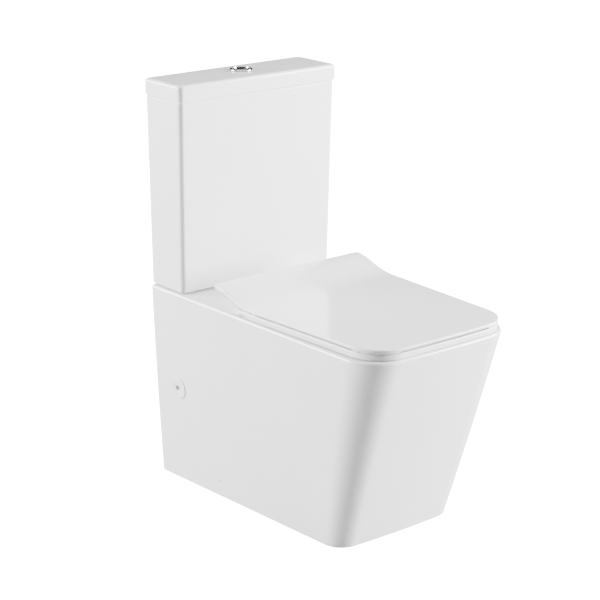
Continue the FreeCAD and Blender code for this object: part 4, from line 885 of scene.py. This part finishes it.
# name, CAD node, body and slot
POLISHED = (("seat_lid_shell", "seat_lid", "lid", "seat_plastic"),
            ("seat_ring_shell", "seat_ring", "seat", "seat_plastic"),
            ("button_ring", "button_bezel", "cistern_cover", "chrome"),
            ("full_flush_plate", "full_flush_button", "full_button", "chrome"),
            ("half_flush_plate", "half_flush_button", "half_button", "chrome"),
            ("side_cap_covers", "side_caps", "root", "cap_plastic"),
            ("hinge_post_covers", "hinge_posts", "root", "chrome"),
            ("trapway_china", "pan_trapway", "root", "china"),
            ("flush_duct_china", "pan_flush_duct", "root", "china"),
            ("flush_tube", "lift_tube", "lift_valve", "grey_plastic"),
            ("float_cup", "fill_float", "float", "grey_plastic"))
for name, node, body, slot in POLISHED:
    polished(name, node, body, slot)

# %% [markdown]
# Each button's return spring is a polished copy of its CAD coil, with a mesh of its own.


def make_return_spring(side):
    """A polished copy of a button's coil, with a mesh of its own."""
    node = side + "_button_spring"
    coil = polished(side + "_return_spring", node, "cistern_cover", "steel")
    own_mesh(coil)


for side in ("full", "half"):
    make_return_spring(side)

# %% [markdown]
# ## Things that repeat
# Screw threads and grip ribs repeat by rule, so Geometry Nodes make them. A thread is a
# spiral curve swept with a small profile. Ribs are one block, put on the points of a circle.
# Each tree has its sizes as named inputs, and its result is turned into a plain mesh.


# %% Geometry Nodes helpers
def new_tree(name, inputs):
    """A Geometry Nodes tree with a Geometry output and float or material inputs."""
    tree = bpy.data.node_groups.new(name, "GeometryNodeTree")
    tree.interface.new_socket("Geometry", in_out="OUTPUT", socket_type="NodeSocketGeometry")
    for title, kind in inputs:
        tree.interface.new_socket(title, in_out="INPUT", socket_type=kind)
    given = tree.nodes.new("NodeGroupInput")
    return tree, given.outputs


def finish_tree(tree, geometry, material):
    """Real geometry with its material, to the tree's output."""
    real = tree.nodes.new("GeometryNodeRealizeInstances")
    paint = tree.nodes.new("GeometryNodeSetMaterial")
    shade = tree.nodes.new("GeometryNodeSetShadeSmooth")
    result = tree.nodes.new("NodeGroupOutput")
    link(tree, geometry, real.inputs["Geometry"])
    link(tree, real.outputs["Geometry"], shade.inputs["Geometry"])
    link(tree, shade.outputs["Geometry"], paint.inputs["Geometry"])
    link(tree, material, paint.inputs["Material"])
    link(tree, paint.outputs["Geometry"], result.inputs["Geometry"])


def grow(name, tree, values, place, copies=((0, 0, 0),)):
    """Runs a tree with given inputs, places the plain mesh, and repeats it at each offset."""
    obj = bpy.data.objects.new(name, bpy.data.meshes.new(name))
    modifier = obj.modifiers.new("grow", "NODES")
    modifier.node_group = tree
    for item in tree.interface.items_tree:
        if item.in_out == "INPUT" and item.name in values:
            modifier[item.identifier] = values[item.name]
    bpy.context.scene.collection.objects.link(obj)
    settle(obj)
    bm = bmesh.new()
    for offset in copies:
        part = obj.data.copy()
        part.transform(Matrix.Translation(Vector(place) + Vector(offset)))
        bm.from_mesh(part)
        bpy.data.meshes.remove(part)
    bm.to_mesh(obj.data)
    bm.free()
    print(name, len(obj.data.polygons), "faces")
    return obj


FLOAT, INT, PAINT = "NodeSocketFloat", "NodeSocketInt", "NodeSocketMaterial"


# %% Thread tree
TURN_STEPS = 20
PROFILE_POINTS = 4


def make_thread_tree():
    """A helical ridge round an upright cylinder, from Z = 0 upwards."""
    tree, given = new_tree("thread", [("Radius", FLOAT), ("Length", FLOAT), ("Turns", FLOAT),
                                      ("Ridge", FLOAT), ("Material", PAINT)])
    spiral = tree.nodes.new("GeometryNodeCurveSpiral")
    spiral.inputs["Resolution"].default_value = TURN_STEPS
    ridge = tree.nodes.new("GeometryNodeCurvePrimitiveCircle")
    ridge.inputs["Resolution"].default_value = PROFILE_POINTS
    sweep = tree.nodes.new("GeometryNodeCurveToMesh")
    sweep.inputs["Fill Caps"].default_value = True
    link(tree, given["Turns"], spiral.inputs["Rotations"])
    link(tree, given["Radius"], spiral.inputs["Start Radius"])
    link(tree, given["Radius"], spiral.inputs["End Radius"])
    link(tree, given["Length"], spiral.inputs["Height"])
    link(tree, given["Ridge"], ridge.inputs["Radius"])
    link(tree, spiral.outputs["Curve"], sweep.inputs["Curve"])
    link(tree, ridge.outputs["Curve"], sweep.inputs["Profile Curve"])
    finish_tree(tree, sweep.outputs["Mesh"], given["Material"])
    return tree


# %% Rib tree
RIB_SIDES = 8


def make_rib_tree():
    """Upright ribs round a cylinder, from Z = 0 upwards."""
    tree, given = new_tree("ribs", [("Radius", FLOAT), ("Height", FLOAT), ("Count", INT),
                                    ("Width", FLOAT), ("Material", PAINT)])
    circle = tree.nodes.new("GeometryNodeMeshCircle")
    rib = tree.nodes.new("GeometryNodeMeshCylinder")
    rib.inputs["Vertices"].default_value = RIB_SIDES
    lift = tree.nodes.new("GeometryNodeTransform")
    middle = tree.nodes.new("ShaderNodeCombineXYZ")
    half = math_node(tree, "MULTIPLY", given["Height"], 0.5)
    scatter = tree.nodes.new("GeometryNodeInstanceOnPoints")
    link(tree, given["Count"], circle.inputs["Vertices"])
    link(tree, given["Radius"], circle.inputs["Radius"])
    link(tree, given["Width"], rib.inputs["Radius"])
    link(tree, given["Height"], rib.inputs["Depth"])
    link(tree, half, middle.inputs["Z"])
    link(tree, rib.outputs["Mesh"], lift.inputs["Geometry"])
    link(tree, middle.outputs["Vector"], lift.inputs["Translation"])
    link(tree, circle.outputs["Mesh"], scatter.inputs["Points"])
    link(tree, lift.outputs["Geometry"], scatter.inputs["Instance"])
    finish_tree(tree, scatter.outputs["Instances"], given["Material"])
    return tree


thread_tree = make_thread_tree()
rib_tree = make_rib_tree()
print("trees:", thread_tree.name, rib_tree.name)


# %% Threads on bolts and valve tails
THREAD_START = 1 * MM
RIDGE_SHARE = 0.3                           # ridge radius over pitch
BOLT_THREAD = (3.9 * MM, 1.25 * MM)         # radius and pitch of each thread
VALVE_THREAD = (28.9 * MM, 3 * MM)
FILL_THREAD = (10.2 * MM, 1.8 * MM)
BUTTON_THREAD = (18.9 * MM, 1.5 * MM)
BOLT_THREAD_END = 40 * MM
FILL_THREAD_END = 24 * MM
BUTTON_THREAD_START = 0.8 * MM
VALVE_NUT = 10.5 * MM
BUTTON_NUT = 8.5 * MM


def thread_on(name, body, x, depth, thread, low, high, slot, pair=False):
    """A thread between two heights, round an upright axis at X and a depth, and on its twin at -X."""
    radius, pitch = thread
    height = high - low
    values = {"Radius": radius, "Length": height, "Turns": height / pitch, "Ridge": pitch * RIDGE_SHARE,
              "Material": FINISHES[slot]}
    copies = ((0, 0, 0), (-2 * x, 0, 0)) if pair else ((0, 0, 0),)
    obj = grow(name, thread_tree, values, (x, wall_y(depth), low), copies=copies)
    return hand_over(obj, body, slot)


bolt_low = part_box("coupling_bolts")[0].z
seat_bolt_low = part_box("seat_bolts")[0].z
valve_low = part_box("flush_valve_base")[0].z
fill_low, fill_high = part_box("fill_valve_stem")
stem_x = (fill_low.x + fill_high.x) / 2
bezel_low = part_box("button_bezel")[0].z
thread_on("coupling_bolt_threads", "root", COUPLING_X, VALVE_D, BOLT_THREAD,
          bolt_low + THREAD_START, bolt_low + BOLT_THREAD_END, "steel", pair=True)
thread_on("seat_bolt_threads", "root", HINGE_X, HINGE_D, BOLT_THREAD,
          seat_bolt_low + THREAD_START, seat_bolt_low + BOLT_THREAD_END, "steel", pair=True)
thread_on("flush_valve_thread", "root", 0.0, VALVE_D, VALVE_THREAD,
          valve_low + THREAD_START, cistern_low.z - VALVE_NUT, "valve_plastic")
thread_on("fill_valve_thread", "root", stem_x, VALVE_D, FILL_THREAD,
          fill_low.z + THREAD_START, fill_low.z + FILL_THREAD_END, "valve_plastic")
thread_on("button_thread", "cistern_cover", 0.0, VALVE_D, BUTTON_THREAD,
          bezel_low + BUTTON_THREAD_START, lid_high.z - LID_PLATE - BUTTON_NUT, "chrome")


# %% Grip ribs
NUT_RIB = (36, 0.9 * MM)                    # count and width of each set of ribs
HEAD_RIB = (28, 0.8 * MM)
GUIDE_RIB = (4, 1.2 * MM)
FLOAT_RIB = (12, 1.0 * MM)
NUT_RIB_INSET = 0.4 * MM
NUT_RIB_MARGIN = 1 * MM
HEAD_RADIUS = 17.6 * MM
HEAD_RIB_HEIGHT = 12 * MM
HEAD_RIB_START = 3 * MM
GUIDE_RADIUS = 16 * MM
GUIDE_HEIGHT = 120 * MM
GUIDE_START = 30 * MM
FLOAT_RIB_RADIUS = 28.8 * MM
FLOAT_RIB_HEIGHT = 50 * MM
FLOAT_RIB_START = 4 * MM


def ribs_on(name, node, body, radius, height, rib, slot, start):
    """Ribs round the axis of a CAD node, from a height upwards."""
    node_low, node_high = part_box(node)
    count, width = rib
    values = {"Radius": radius, "Height": height, "Count": count, "Width": width,
              "Material": FINISHES[slot]}
    obj = grow(name, rib_tree, values, ((node_low.x + node_high.x) / 2, wall_y(VALVE_D), start))
    return hand_over(obj, body, slot)


nut_low, nut_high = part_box("flush_valve_backnut")
ribs_on("backnut_ribs", "flush_valve_backnut", "root", nut_high.x - NUT_RIB_INSET,
        nut_high.z - nut_low.z - 2 * NUT_RIB_MARGIN, NUT_RIB, "grey_plastic", nut_low.z + NUT_RIB_MARGIN)
ribs_on("fill_head_ribs", "fill_valve_stem", "root", HEAD_RADIUS, HEAD_RIB_HEIGHT, HEAD_RIB,
        "valve_plastic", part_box("fill_valve_head")[0].z + HEAD_RIB_START)
ribs_on("lift_tube_guides", "flush_valve_base", "lift_valve", GUIDE_RADIUS, GUIDE_HEIGHT, GUIDE_RIB,
        "grey_plastic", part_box("lift_tube")[0].z + GUIDE_START)
ribs_on("float_ribs", "fill_valve_stem", "float", FLOAT_RIB_RADIUS, FLOAT_RIB_HEIGHT, FLOAT_RIB,
        "grey_plastic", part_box("fill_float")[0].z + FLOAT_RIB_START)

# %% [markdown]
# ## Finishes for the rest
# Every CAD node that still shows gets the finish that the record names for it. The material slots of
# the imported objects are simply filled again. The screw heads in the pan's sides are the exception:
# they are painted near black, painted shade of a hole, so that each reads as a small shadowed hole.

# %% Paint the CAD nodes
SCREW_HEADS = ("cap_screws", "side_screws")
slot_of = {part["node"]: part["material_slot"] for part in frame["record"]["subparts"]}
painted = 0
for name, node in nodes.items():
    if node.hide_render:
        continue
    node.data.materials.clear()
    # the side screw heads get painted hole shade instead of the finish the record names
    finish = painted_hole_shade if name in SCREW_HEADS else FINISHES[slot_of[name]]
    node.data.materials.append(finish)
    painted += 1
print("painted", painted, "CAD nodes")
